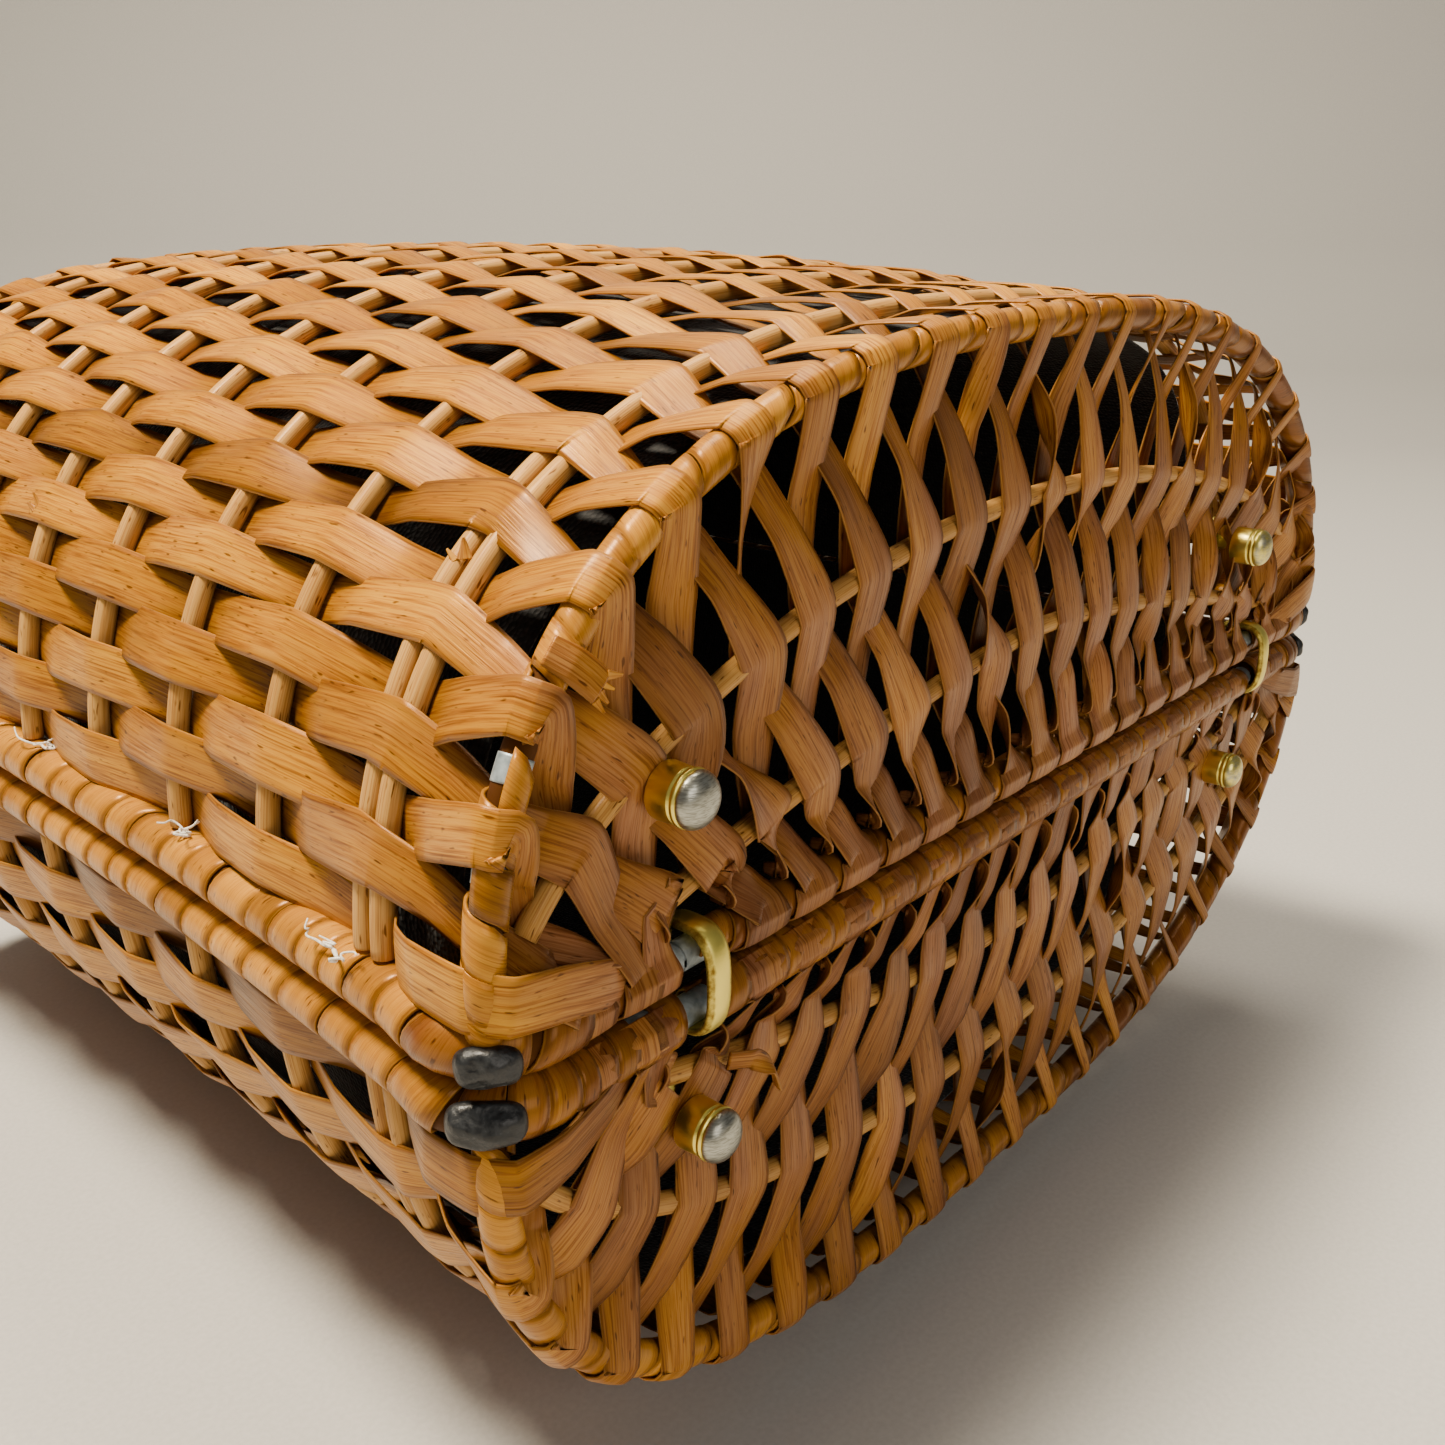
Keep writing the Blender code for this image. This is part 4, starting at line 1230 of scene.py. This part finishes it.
@dataclass
class ReedFrame:
    """Peeled rattan hoops and rods of one half, a little out of true as bent reeds are."""

    shop: Workshop
    half: Half
    wobble: float = 0.25
    sides: int = 14

    def reed(self, label: str, points: Array, plane: Array, rng: np.random.Generator, red: float) -> None:
        """One round reed along a path."""
        count = len(points)
        bent = points.copy()
        fade = np.sin(np.linspace(0, math.pi, count)) ** 0.5
        bent[:, 1] += self.wobble * smooth_noise(rng, count, 40) * fade
        bent[:, 0] += self.wobble * smooth_noise(rng, count, 50) * fade
        first, second = path_frames(bent, plane)
        radius = self.shop.form.reed_radius * (1 + 0.035 * smooth_noise(rng, count, 24))
        rings = round_rings(bent, first, second, radius, self.sides)
        a = np.linspace(-math.pi, math.pi, self.sides, endpoint=False)
        across = np.abs(a) * self.shop.form.reed_radius
        seed = rng.uniform(0, 90)
        grain = np.stack(np.broadcast_arrays(across[None, :] + seed, arc_length(bent)[:, None],
                                             np.array(seed)), axis=-1)
        surface = Surface()
        surface.tube(rings, grain, float(rng.uniform(0.45, 0.7)), 0.0, red)
        obj = surface.build(f"{self.half.label}_{label}_reed", self.shop.placement, self.half.side)
        self.shop.hand_over(obj, self.shop.finishes.reed, self.half.body, Slot.REED,
                            f"{self.half.label}_{label}")

    def build(self) -> None:
        """Bend every hoop, then the rods of the base and of the top face."""
        form = self.shop.form
        rng = np.random.default_rng(31 if self.half is Half.UPPER else 37)
        for name, y in form.hoops():
            points, _, _ = form.arch(y, float(form.half_length(y)), float(form.half_depth(y)), 0.0,
                                     form.skin_start - 0.1, 241,
                                     form.splice_end if name == "stake_1b" else None)
            self.reed(name, points, np.array([0.0, 1.0, 0.0]), rng, 0.0)
        for name, spec in (("outer", form.outer_rod), ("inner", form.inner_rod)):
            self.reed(f"base_rod_{name}", form.base_rod(spec), np.array([0.0, -1.0, form.base_lean]), rng,
                      0.25)
            self.reed(f"top_rod_{name}", form.top_rod(spec), np.array([0.0, 1.0, 0.0]), rng, 0.2)


# ---- lining, leather and brass ------------------------------------------------------------------
@dataclass
class LiningCloth:
    """Black cotton stretched inside the reeds: round the body and down the top face, open to the base."""

    shop: Workshop
    half: Half
    inset: float = 4.6
    edge_z: float = 0.7
    thickness: float = 0.5
    start_near: float = 12.0
    start_far: float = 30.0
    wrinkle: float = 0.35
    columns: int = 121
    body_rows: int = 46
    face_rows: int = 14

    def grid(self) -> Array:
        """Points of the cloth: columns round the arch, rows from its base edge to the top seam."""
        form = self.shop.form
        share = np.linspace(0, 1, self.columns)
        start = self.start_near + (self.start_far - self.start_near) * share ** 2
        end = form.top_y - self.inset
        rows = []
        for step in np.linspace(0, 1, self.body_rows):
            y = start + (end - start) * step
            length, depth = form.half_length(y) - self.inset, form.half_depth(y) - self.inset
            first = math.asin((self.edge_z / float(depth.mean())) ** (form.roundness / 2))
            table = np.linspace(first, math.pi - first, 1600)
            x = -np.sign(np.cos(table)) * np.abs(np.cos(table)) ** (2 / form.roundness)
            z = np.sin(table) ** (2 / form.roundness)
            mean = np.stack([x * length.mean(), z * depth.mean(), np.zeros_like(x)], axis=1)
            along = arc_length(mean)
            at = np.interp(share * along[-1], along, table)
            px = -length * np.sign(np.cos(at)) * np.abs(np.cos(at)) ** (2 / form.roundness)
            pz = depth * np.sin(at) ** (2 / form.roundness)
            rows.append(np.stack([px, y, pz], axis=1))
        body = np.stack(rows)
        corner = body[-1]
        face = []
        for step in np.linspace(1, 0, self.face_rows + 1)[1:]:
            z = self.edge_z + (corner[:, 2] - self.edge_z) * step
            bulge = -1.2 * math.sin(math.pi * step)
            face.append(np.stack([corner[:, 0], corner[:, 1] + bulge, z], axis=1))
        return np.concatenate([body, np.stack(face)])

    def build(self) -> None:
        """Make the cloth, wrinkle it slightly, give it its wall and hand it over."""
        grid = self.grid()
        rows, columns = grid.shape[:2]
        rng = np.random.default_rng(51 if self.half is Half.UPPER else 57)
        waves = sum(smooth_noise(rng, rows, 6 + 3 * k)[:, None]
                    * smooth_noise(rng, columns, 5 + 4 * k)[None, :] for k in range(3))
        grid[: self.body_rows, :, 2] -= (self.wrinkle * waves)[: self.body_rows]
        grid[..., 2] = np.maximum(grid[..., 2], self.edge_z - 0.2)
        points = grid.reshape(-1, 3)
        index = np.arange(rows * columns).reshape(rows, columns)
        faces = np.stack([index[:-1, :-1], index[:-1, 1:], index[1:, 1:], index[1:, :-1]], axis=-1)
        faces = faces.reshape(-1, 4)
        if self.half is Half.LOWER:
            points = points * np.array([1.0, 1.0, -1.0])
            faces = faces[:, ::-1]
        mesh = bpy.data.meshes.new(f"{self.half.label}_lining_cloth")
        mesh.from_pydata(self.shop.placement.carry(points), [], faces.tolist())
        mesh.shade_smooth()
        obj = bpy.data.objects.new(mesh.name, mesh)
        bpy.context.scene.collection.objects.link(obj)
        wall = obj.modifiers.new("cloth", "SOLIDIFY")
        wall.thickness = self.thickness * MM
        wall.offset = 0.0
        self.shop.hand_over(obj, self.shop.finishes.cloth, self.half.body, Slot.CLOTH,
                            f"{self.half.label}_lining")


@dataclass
class CornerPad:
    """A small leather pad pasted over the rim's winding at a base corner."""

    shop: Workshop
    half: Half
    side: float
    arc: tuple[float, float] = (-47.0, 30.0)        # degrees round the wire
    height: float = 1.7
    dent: float = 0.8
    wire_reach: float = 4.35

    @property
    def turn(self) -> tuple[float, float]:
        """Degrees round the corner, from the base straight to the side."""
        return (27.0, 63.0) if self.half is Half.UPPER else (20.0, 64.0)

    def build(self) -> None:
        """Lay a domed squircle over the corner: height h (1 - r^5), with creases and one dent."""
        form = self.shop.form
        rings, sides = 16, 48
        r = np.concatenate([np.linspace(0.02, 1.0, rings), np.linspace(0.97, 0.02, 6)])
        top = np.concatenate([np.ones(rings), np.zeros(6)])
        a = np.linspace(0, 2 * math.pi, sides, endpoint=False)
        squircle = 1 / (np.abs(np.cos(a)) ** 3.2 + np.abs(np.sin(a)) ** 3.2) ** (1 / 3.2)
        p, q = (r[:, None] * (squircle * f(a))[None, :] for f in (np.cos, np.sin))
        turn = np.radians(self.turn[0] + (self.turn[1] - self.turn[0]) * (0.5 + 0.5 * p))
        arc = np.radians(self.arc[0] + (self.arc[1] - self.arc[0]) * (0.5 + 0.5 * q))
        dome = (1 - np.minimum(r, 1.0) ** 5)[:, None] * np.ones_like(p)
        crease = 0.14 * np.sin(7 * p + 3 * q * q) + 0.10 * np.sin(9 * q - 4 * p)
        dent = self.dent * np.exp(-(((p - 0.15) / 0.5) ** 2 + ((q + 0.55) / 0.3) ** 2))
        raised = (self.height + crease - dent) * dome
        reach = self.wire_reach + np.where(top[:, None] > 0, 0.15 + raised, -0.3)
        corner = form.base_half_length - form.rim_base_corner
        out = form.rim_base_corner + reach * np.cos(arc)
        x = self.side * (corner + np.cos(turn) * out)
        y = form.rim_base_corner - np.sin(turn) * out
        z = form.rim_lift + reach * np.sin(arc)
        points = np.stack([x, y, z], axis=-1)
        if self.side > 0:
            points = points[:, ::-1]
        surface = Surface()
        surface.tube(points, np.zeros_like(points), 0.5)
        where = "left" if self.side < 0 else "right"
        obj = surface.build(f"{self.half.label}_corner_pad_{where}", self.shop.placement, self.half.side)
        self.shop.hand_over(obj, self.shop.finishes.leather, self.half.body, Slot.LEATHER,
                            f"{self.half.label}_corner_patch_{where}")


def turned(surface: Surface, profile: Array, place: tuple[float, float], wear: Array | float, tone: float,
           sides: int = 64) -> None:
    """Turn a profile about an axis along Y: x = x0 + r sin a, z = z0 + r cos a.

    Args:
        surface: receives the skin.
        profile: rows of radius and y, from the inner end to the tip.
        place: x0 and z0.
        wear: how bare the metal is, for each row.
        tone: how tarnished it is.
        sides: points round.
    """
    a = np.linspace(0, 2 * math.pi, sides, endpoint=False)
    x = place[0] + profile[:, :1] * np.sin(a)[None, :]
    z = place[1] + profile[:, :1] * np.cos(a)[None, :]
    y = np.broadcast_to(profile[:, 1:], x.shape)
    rings = np.stack([x, y, z], axis=-1)
    worn = np.broadcast_to(np.asarray(wear, float).reshape(-1, 1), x.shape)
    surface.tube(rings, np.zeros_like(rings), tone, worn)


@dataclass
class BrassFittings:
    """Feet, their washers and the clasp arm of one half."""

    shop: Workshop
    half: Half
    foot_radius: float = 4.0
    foot_top: float = -1.0
    foot_tip: float = -8.5
    foot_turning: float = 6.6
    stud_radius: float = 1.5
    stud_end: float = 5.6
    washer_radius: float = 5.5
    ball_radius: float = 3.2

    @property
    def feet_x(self) -> tuple[float, float]:
        """Places of the left and right foot along the seam."""
        return (-102.0, 83.0) if self.half is Half.UPPER else (-97.0, 83.5)

    @property
    def feet_z(self) -> float:
        """Distance of the feet from the seam."""
        return 30.0 if self.half is Half.UPPER else 22.0

    def foot_profile(self) -> Array:
        """Stud, collar, barrel, two ring grooves and a domed tip, with rounded edges."""
        r, tip = self.foot_radius, self.foot_tip
        stud = [(0.02, self.stud_end), (self.stud_radius - 0.3, self.stud_end),
                (self.stud_radius, self.stud_end - 0.3), (self.stud_radius, self.foot_top)]
        stud += [(r - 0.25, self.foot_top), (r - 0.06, self.foot_top - 0.08), (r, self.foot_top - 0.3)]
        top = tip + self.foot_turning
        turned_down = ((-0.12, 2.6), (-0.14, 2.75), (-0.42, 2.95), (-0.45, 3.05), (-0.1, 3.25), (0.04, 3.35),
                       (0.06, 3.75), (-0.02, 3.9), (-0.3, 4.0), (-0.3, 4.1), (-0.08, 4.2))
        barrel = [(r + step, top - down) for step, down in turned_down]
        rise = top - 4.2 - tip
        dome = [((r - 0.05) * math.cos(t) ** 0.8, top - 4.2 - rise * math.sin(t))
                for t in np.linspace(0.08, 1.5, 16)]
        return np.array(stud + barrel + dome + [(0.02, tip)])

    def washer(self, x: float) -> Surface:
        """A flat ring with bevelled edges, on the stud behind the base reed."""
        y = self.shop.form.reed_radius + 0.6 + self.shop.form.base_lean * 30.0
        a = np.linspace(0, 2 * math.pi, 64, endpoint=False)
        hole, rim = self.stud_radius + 0.3, self.washer_radius
        section = np.array([(hole, 0.15), (hole + 0.15, 0.0), (rim - 0.15, 0.0), (rim, 0.15),
                            (rim, 0.85), (rim - 0.15, 1.0), (hole + 0.15, 1.0), (hole, 0.85)])
        rings = np.stack([x + section[None, :, 0] * np.sin(a)[:, None],
                          y + np.broadcast_to(section[None, :, 1], (64, 8)),
                          self.feet_z + section[None, :, 0] * np.cos(a)[:, None]], axis=-1)
        surface = Surface()
        surface.tube(rings, np.zeros_like(rings), 0.3, loop=True)
        return surface

    def build(self) -> None:
        """Turn the feet and washers and bend the clasp arm."""
        profile = self.foot_profile()
        rise = np.clip((self.foot_tip + 3.2 - profile[:, 1]) / 1.6, 0, 1)
        for where, x, worn in zip(("left", "right"), self.feet_x, (0.9, 0.5)):
            foot = Surface()
            turned(foot, profile, (x, self.feet_z), rise * worn, 0.1)
            self.deliver(foot, f"foot_{where}", "turned_foot_" + where)
            self.deliver(self.washer(x), f"foot_washer_{where}", "stud_washer_" + where)
        self.clasp(-self.half.side)

    def clasp(self, side: float) -> None:
        """A plate on the rim, a bent arm and its ball, passing the other half's ball."""
        form = self.shop.form
        base = form.top_y + form.rim_radius + 0.3
        surface = Surface()
        t = np.linspace(0, 1, 24)
        x, lean = side * 3.9, form.rim_lift + 1.0
        path = np.stack([np.full_like(t, x), base + 0.2 + 7.8 * t, form.rim_lift - lean * t ** 2], axis=1)
        first, second = path_frames(path, np.array([1.0, 0.0, 0.0]))
        radius = 1.5 - 0.3 * np.sin(math.pi * t)
        surface.tube(round_rings(path, first, second, radius, 20), np.zeros((24, 20, 3)), 0.15)
        a = np.linspace(-math.pi / 2, math.pi / 2, 24)
        ball = np.stack([np.maximum(self.ball_radius * np.cos(a), 0.02),
                         base + 8.0 - self.ball_radius * np.sin(a)], axis=1)
        turned(surface, ball, (x, -1.0), 0.15, 0.05, 40)
        y = np.array([1.2, 1.2, 1.05, 0.15, 0.0, 0.0])
        grow = np.array([0.05, 0.95, 1.0, 1.0, 0.97, 0.05])
        a = np.linspace(0, 2 * math.pi, 48, endpoint=False)
        squircle = 1 / (np.abs(np.cos(a)) ** 5 + np.abs(np.sin(a)) ** 5) ** 0.2
        rings = np.stack([side * 5.85 + grow[:, None] * 4.5 * squircle * np.sin(a),
                          base + np.broadcast_to(y[:, None], (6, 48)),
                          form.rim_lift + 0.4 + grow[:, None] * 2.8 * squircle * np.cos(a)], axis=-1)
        surface.tube(rings, np.zeros_like(rings), 0.2)
        self.deliver(surface, "clasp_arm", "clasp_ball_arm")

    def deliver(self, surface: Surface, node: str, name: str) -> None:
        """Build one fitting and let it stand for its node."""
        obj = surface.build(f"{self.half.label}_{name}", self.shop.placement, self.half.side)
        self.shop.hand_over(obj, self.shop.finishes.brass, self.half.body, Slot.BRASS,
                            f"{self.half.label}_{node}")


@dataclass
class HingeRings:
    """Two half-round brass bands round both rims at the base seam."""

    shop: Workshop
    radius: float = 5.3
    rise: float = 7.5
    shift: float = 1.1
    half_width: float = 2.3
    half_thick: float = 1.1

    def build(self) -> None:
        """Carry a half-round section along a squircle that takes in both wires: |y/r|^3 + |z/h|^3 = 1."""
        a = np.linspace(0, 2 * math.pi, 96, endpoint=False)
        y = -np.sign(np.cos(a)) * np.abs(np.cos(a)) ** (2 / 3) * self.radius
        z = np.sign(np.sin(a)) * np.abs(np.sin(a)) ** (2 / 3) * self.rise
        path = np.stack([np.zeros_like(a), y, z + self.shift], axis=1)
        tangents = unit(np.roll(path, -1, axis=0) - np.roll(path, 1, axis=0))
        out = np.cross(tangents, np.array([1.0, 0.0, 0.0]))
        out *= np.sign(out[0] @ np.array([0.0, -1.0, 0.0]))
        s = np.linspace(0, 2 * math.pi, 16, endpoint=False)
        across = np.sign(np.cos(s)) * np.abs(np.cos(s)) ** 0.8 * self.half_width
        rise = np.sin(s)
        height = np.where(rise > 0, np.maximum(rise, 0.0) ** 0.8 * self.half_thick, rise * 0.25)
        for where, sign in (("left", -1.0), ("right", 1.0)):
            rings = (path[:, None, :] + height[None, :, None] * out[:, None, :]
                     + across[None, :, None] * np.array([1.0, 0.0, 0.0])
                     + np.array([sign * self.shop.form.ring_x, 0.0, 0.0]))
            surface = Surface()
            tone = np.broadcast_to(np.where(np.abs(across) > 1.2, 0.75, 0.25), rings.shape[:2])
            surface.tube(rings, np.zeros_like(rings), tone, 0.0, loop=True)
            obj = surface.build(f"brass_hinge_band_{where}", self.shop.placement)
            self.shop.hand_over(obj, self.shop.finishes.brass, Half.UPPER.body, Slot.BRASS,
                                f"hinge_ring_{where}")


@dataclass
class SignsOfWear:
    """Loose bits of an old bag: linen ends at the rim, frayed and torn strip ends, a curled tongue."""

    shop: Workshop

    def thread(self, surface: Surface, rng: np.random.Generator, place: tuple[float, float, float],
               reach: float) -> None:
        """A frayed linen end: a thin bent tube that lies on the rim and lifts at its tip."""
        steps = rng.normal(0, 0.8, (7, 3))
        steps = steps + np.array([rng.uniform(-0.5, 0.5), rng.uniform(-1, 1), 0.25]) * reach / 7
        steps[:, 2] = np.abs(steps[:, 2]) * 0.5
        knots = np.array(place) + np.concatenate([[np.zeros(3)], np.cumsum(steps, axis=0)])
        path = resample(smooth_line(knots, 6, 1.0), 40)
        first, second = path_frames(path, np.array([0.3, 0.2, 0.93]))
        rings = round_rings(path, first, second, np.linspace(0.24, 0.12, 40), 8)
        surface.tube(rings, np.zeros_like(rings), 0.5)

    def splinter(self, surface: Surface, place: Array, way: Array, normal: Array, length: float,
                 width: float, curl: float, seed: float) -> None:
        """A sliver of cane from a place along a way, curling off the surface."""
        t = np.linspace(0, 1, 5)
        path = place + way * (t * length)[:, None] + normal * (curl * t ** 2 * length)[:, None]
        rows = [knot_row(spot, normal, width * (1 - 0.75 * share), 0.2, 0.5, 0.25)
                for spot, share in zip(path, t)]
        lay_ribbon(surface, np.stack(rows), 0.6, seed, 0.35, 0.05, 4)

    def fray(self, surface: Surface, rng: np.random.Generator, place: tuple[float, float, float],
             way: tuple[float, float, float], normal: tuple[float, float, float], count: int, length: float,
             spread: float) -> None:
        """Several splinters side by side, as where a strip has broken."""
        forward, up = unit(np.array(way)), unit(np.array(normal))
        beside = np.cross(up, forward)
        for number in range(count):
            shift = (number - (count - 1) / 2) * 1.1
            turn = rng.normal(0, spread)
            self.splinter(surface, np.array(place) + beside * shift, unit(forward + beside * turn), up,
                          length * rng.uniform(0.6, 1.1), rng.uniform(1.0, 1.6), rng.uniform(0.1, 0.5),
                          number + 60.0)

    def tongue(self, surface: Surface, knots: tuple[tuple[float, ...], ...],
               widths: tuple[float, ...]) -> None:
        """A loose strip end through the knots, each a place and a normal."""
        rows = [np.array([*knot, width, 0.0, 0.6, 0.1]) for knot, width in zip(knots, widths)]
        lay_ribbon(surface, np.stack(rows), 0.5, 77.0, 0.6, 0.15)

    def build(self) -> None:
        """Lay threads on the near upper rim, then fray, break and curl a few strips."""
        rng = np.random.default_rng(91)
        threads = Surface()
        for place in ((-121.8, 128.0, 8.9), (-125.9, 76.0, 8.9), (-132.6, 28.0, 8.4)):
            for reach in (5.0, -3.5, 2.5):
                self.thread(threads, rng, place, reach)
        self.deliver(threads, "upper_loose_threads", Half.UPPER, self.shop.finishes.linen)
        upper = Surface()
        self.fray(upper, rng, (-111.2, 25.0, 57.0), (0.25, 0.3, 1.0), (-0.8, 0.0, 0.6), 3, 2.6, 0.4)
        self.fray(upper, rng, (-113.0, 137.0, 48.5), (0.2, 0.6, 0.8), (-0.9, 0.0, 0.45), 3, 2.8, 0.5)
        self.tongue(upper, ((-119.5, 0.6, 52.0, -0.1, -1.0, 0.1), (-117.4, -1.2, 50.2, -0.1, -1.0, 0.1),
                            (-115.6, -2.0, 48.4, 0.0, -1.0, 0.1), (-114.2, -2.4, 46.8, 0.0, -1.0, 0.1)),
                    (4.0, 4.6, 4.8, 4.6))
        self.fray(upper, rng, (-114.2, -2.4, 46.8), (0.75, 0.0, -0.66), (0.0, -1.0, 0.05), 4, 2.2, 0.2)
        self.deliver(upper, "upper_frayed_ends", Half.UPPER, self.shop.finishes.strip)
        lower = Surface()
        self.tongue(lower, ((-90.5, -2.2, 15.0, 0.1, -1.0, 0.2), (-87.0, -4.0, 15.6, 0.4, -0.9, 0.3),
                            (-84.2, -5.2, 17.6, 0.8, -0.6, 0.1), (-83.0, -5.4, 21.5, 0.9, -0.4, -0.1)),
                    (3.2, 3.4, 3.0, 2.4))
        self.deliver(lower, "lower_curled_end", Half.LOWER, self.shop.finishes.strip)

    def deliver(self, surface: Surface, name: str, half: Half, finish: bpy.types.Material) -> None:
        """Build one group of loose bits."""
        obj = surface.build(name, self.shop.placement, half.side)
        self.shop.hand_over(obj, finish, half.body, Slot.STRIPS)


# ---- studio -------------------------------------------------------------------------------------
@dataclass(frozen=True)
class Studio:
    """Pale floor and backdrop, soft daylight lamps and the camera at the bag's base end."""

    placement: Placement
    eye: tuple[float, float, float] = (-225.79, -114.54, 99.50)
    forward: tuple[float, float, float] = (0.71987, 0.60554, -0.33927)
    up: tuple[float, float, float] = (0.25571, 0.22304, 0.94067)
    focal: float = 35.90
    floor_size: float = 6.0

    def camera(self) -> None:
        """Place the camera: its -Z looks forward and its Y is up."""
        data = bpy.data.cameras.new("camera")
        data.sensor_width = 36.0
        data.lens = self.focal
        data.clip_start = 0.01
        obj = bpy.data.objects.new("camera", data)
        forward = Vector(self.forward).normalized()
        right = forward.cross(Vector(self.up)).normalized()
        up = right.cross(forward)
        turn = Matrix((right, up, -forward)).transposed().to_4x4()
        obj.matrix_world = Matrix.Translation(Vector(self.placement.carry(np.array(self.eye)))) @ turn
        bpy.context.scene.collection.objects.link(obj)
        bpy.context.scene.camera = obj

    def lamp(self, name: str, place: tuple[float, float, float], size: float, power: float,
             colour: str) -> None:
        """A square area lamp that faces the bag: its place and size in metres, its power in watts."""
        data = bpy.data.lights.new(name, "AREA")
        data.size = size
        data.energy = power
        data.color = linear(colour)[:3]
        obj = bpy.data.objects.new(name, data)
        obj.location = place
        obj.rotation_euler = (Vector((0.0, -0.05, 0.09)) - Vector(place)).to_track_quat("-Z", "Y").to_euler()
        bpy.context.scene.collection.objects.link(obj)

    def floor(self) -> None:
        """A pale floor that sweeps up into a backdrop behind the bag."""
        t = Tree("pale_matt_board")
        place = t.add("TexCoord").outputs["Object"]
        tooth = t.add("TexNoise", Vector=place, Scale=900.0, Detail=2.0)
        colour = t.ramp(tooth.outputs["Fac"], (0.3, "#b2b0ac"), (0.7, "#bab8b4"))
        material = t.finish(Base_Color=colour, Roughness=0.7)
        u = np.linspace(-1, 1, 9)
        profile = np.array([(-3.0, 0.0), (0.9, 0.0), (1.2, 0.03), (1.4, 0.15), (1.5, 0.4), (1.5, 3.0)])
        along = np.array([0.72, 0.60, 0.0]) / math.hypot(0.72, 0.60)
        side = np.array([0.60, -0.72, 0.0]) / math.hypot(0.72, 0.60)
        grid = (profile[:, None, :1] * along + u[None, :, None] * self.floor_size / 2 * side
                + profile[:, None, 1:] * np.array([0.0, 0.0, 1.0]))
        rows, columns = grid.shape[:2]
        index = np.arange(rows * columns).reshape(rows, columns)
        faces = np.stack([index[:-1, :-1], index[:-1, 1:], index[1:, 1:], index[1:, :-1]], axis=-1)
        mesh = bpy.data.meshes.new("floor")
        mesh.from_pydata(grid.reshape(-1, 3), [], faces.reshape(-1, 4).tolist())
        mesh.shade_smooth()
        obj = bpy.data.objects.new("floor", mesh)
        obj.data.materials.append(material)
        bpy.context.scene.collection.objects.link(obj)

    def build(self) -> None:
        """Set the whole studio."""
        self.camera()
        self.floor()
        self.lamp("key", (-0.42, 0.2, 1.38), 0.32, 58.0, "#fff0d6")
        self.lamp("fill", (-0.45, -1.4, 0.8), 0.8, 6.5, "#fff6ea")
        self.lamp("top", (0.5, 0.2, 1.5), 0.6, 18.0, "#fff2dc")
        world = bpy.data.worlds.new("soft_room")
        world.use_nodes = True
        world.node_tree.nodes["Background"].inputs["Color"].default_value = linear("#e6e4e0")
        world.node_tree.nodes["Background"].inputs["Strength"].default_value = 0.22
        bpy.context.scene.world = world


def main() -> None:
    """Build every sub-assembly in order."""
    logging.basicConfig(level=logging.INFO, format="%(message)s")
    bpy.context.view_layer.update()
    form = BagForm()
    shop = Workshop(form, Placement.from_frame(form.rim_radius), Finishes())
    for half in Half:
        StripWeave(shop, half).build()
        WireFrame(shop, half).build()
        ReedFrame(shop, half).build()
        LiningCloth(shop, half).build()
        for side in (-1.0, 1.0):
            CornerPad(shop, half, side).build()
        BrassFittings(shop, half).build()
    HingeRings(shop).build()
    SignsOfWear(shop).build()
    Studio(shop.placement).build()


if __name__ == "__main__":
    main()
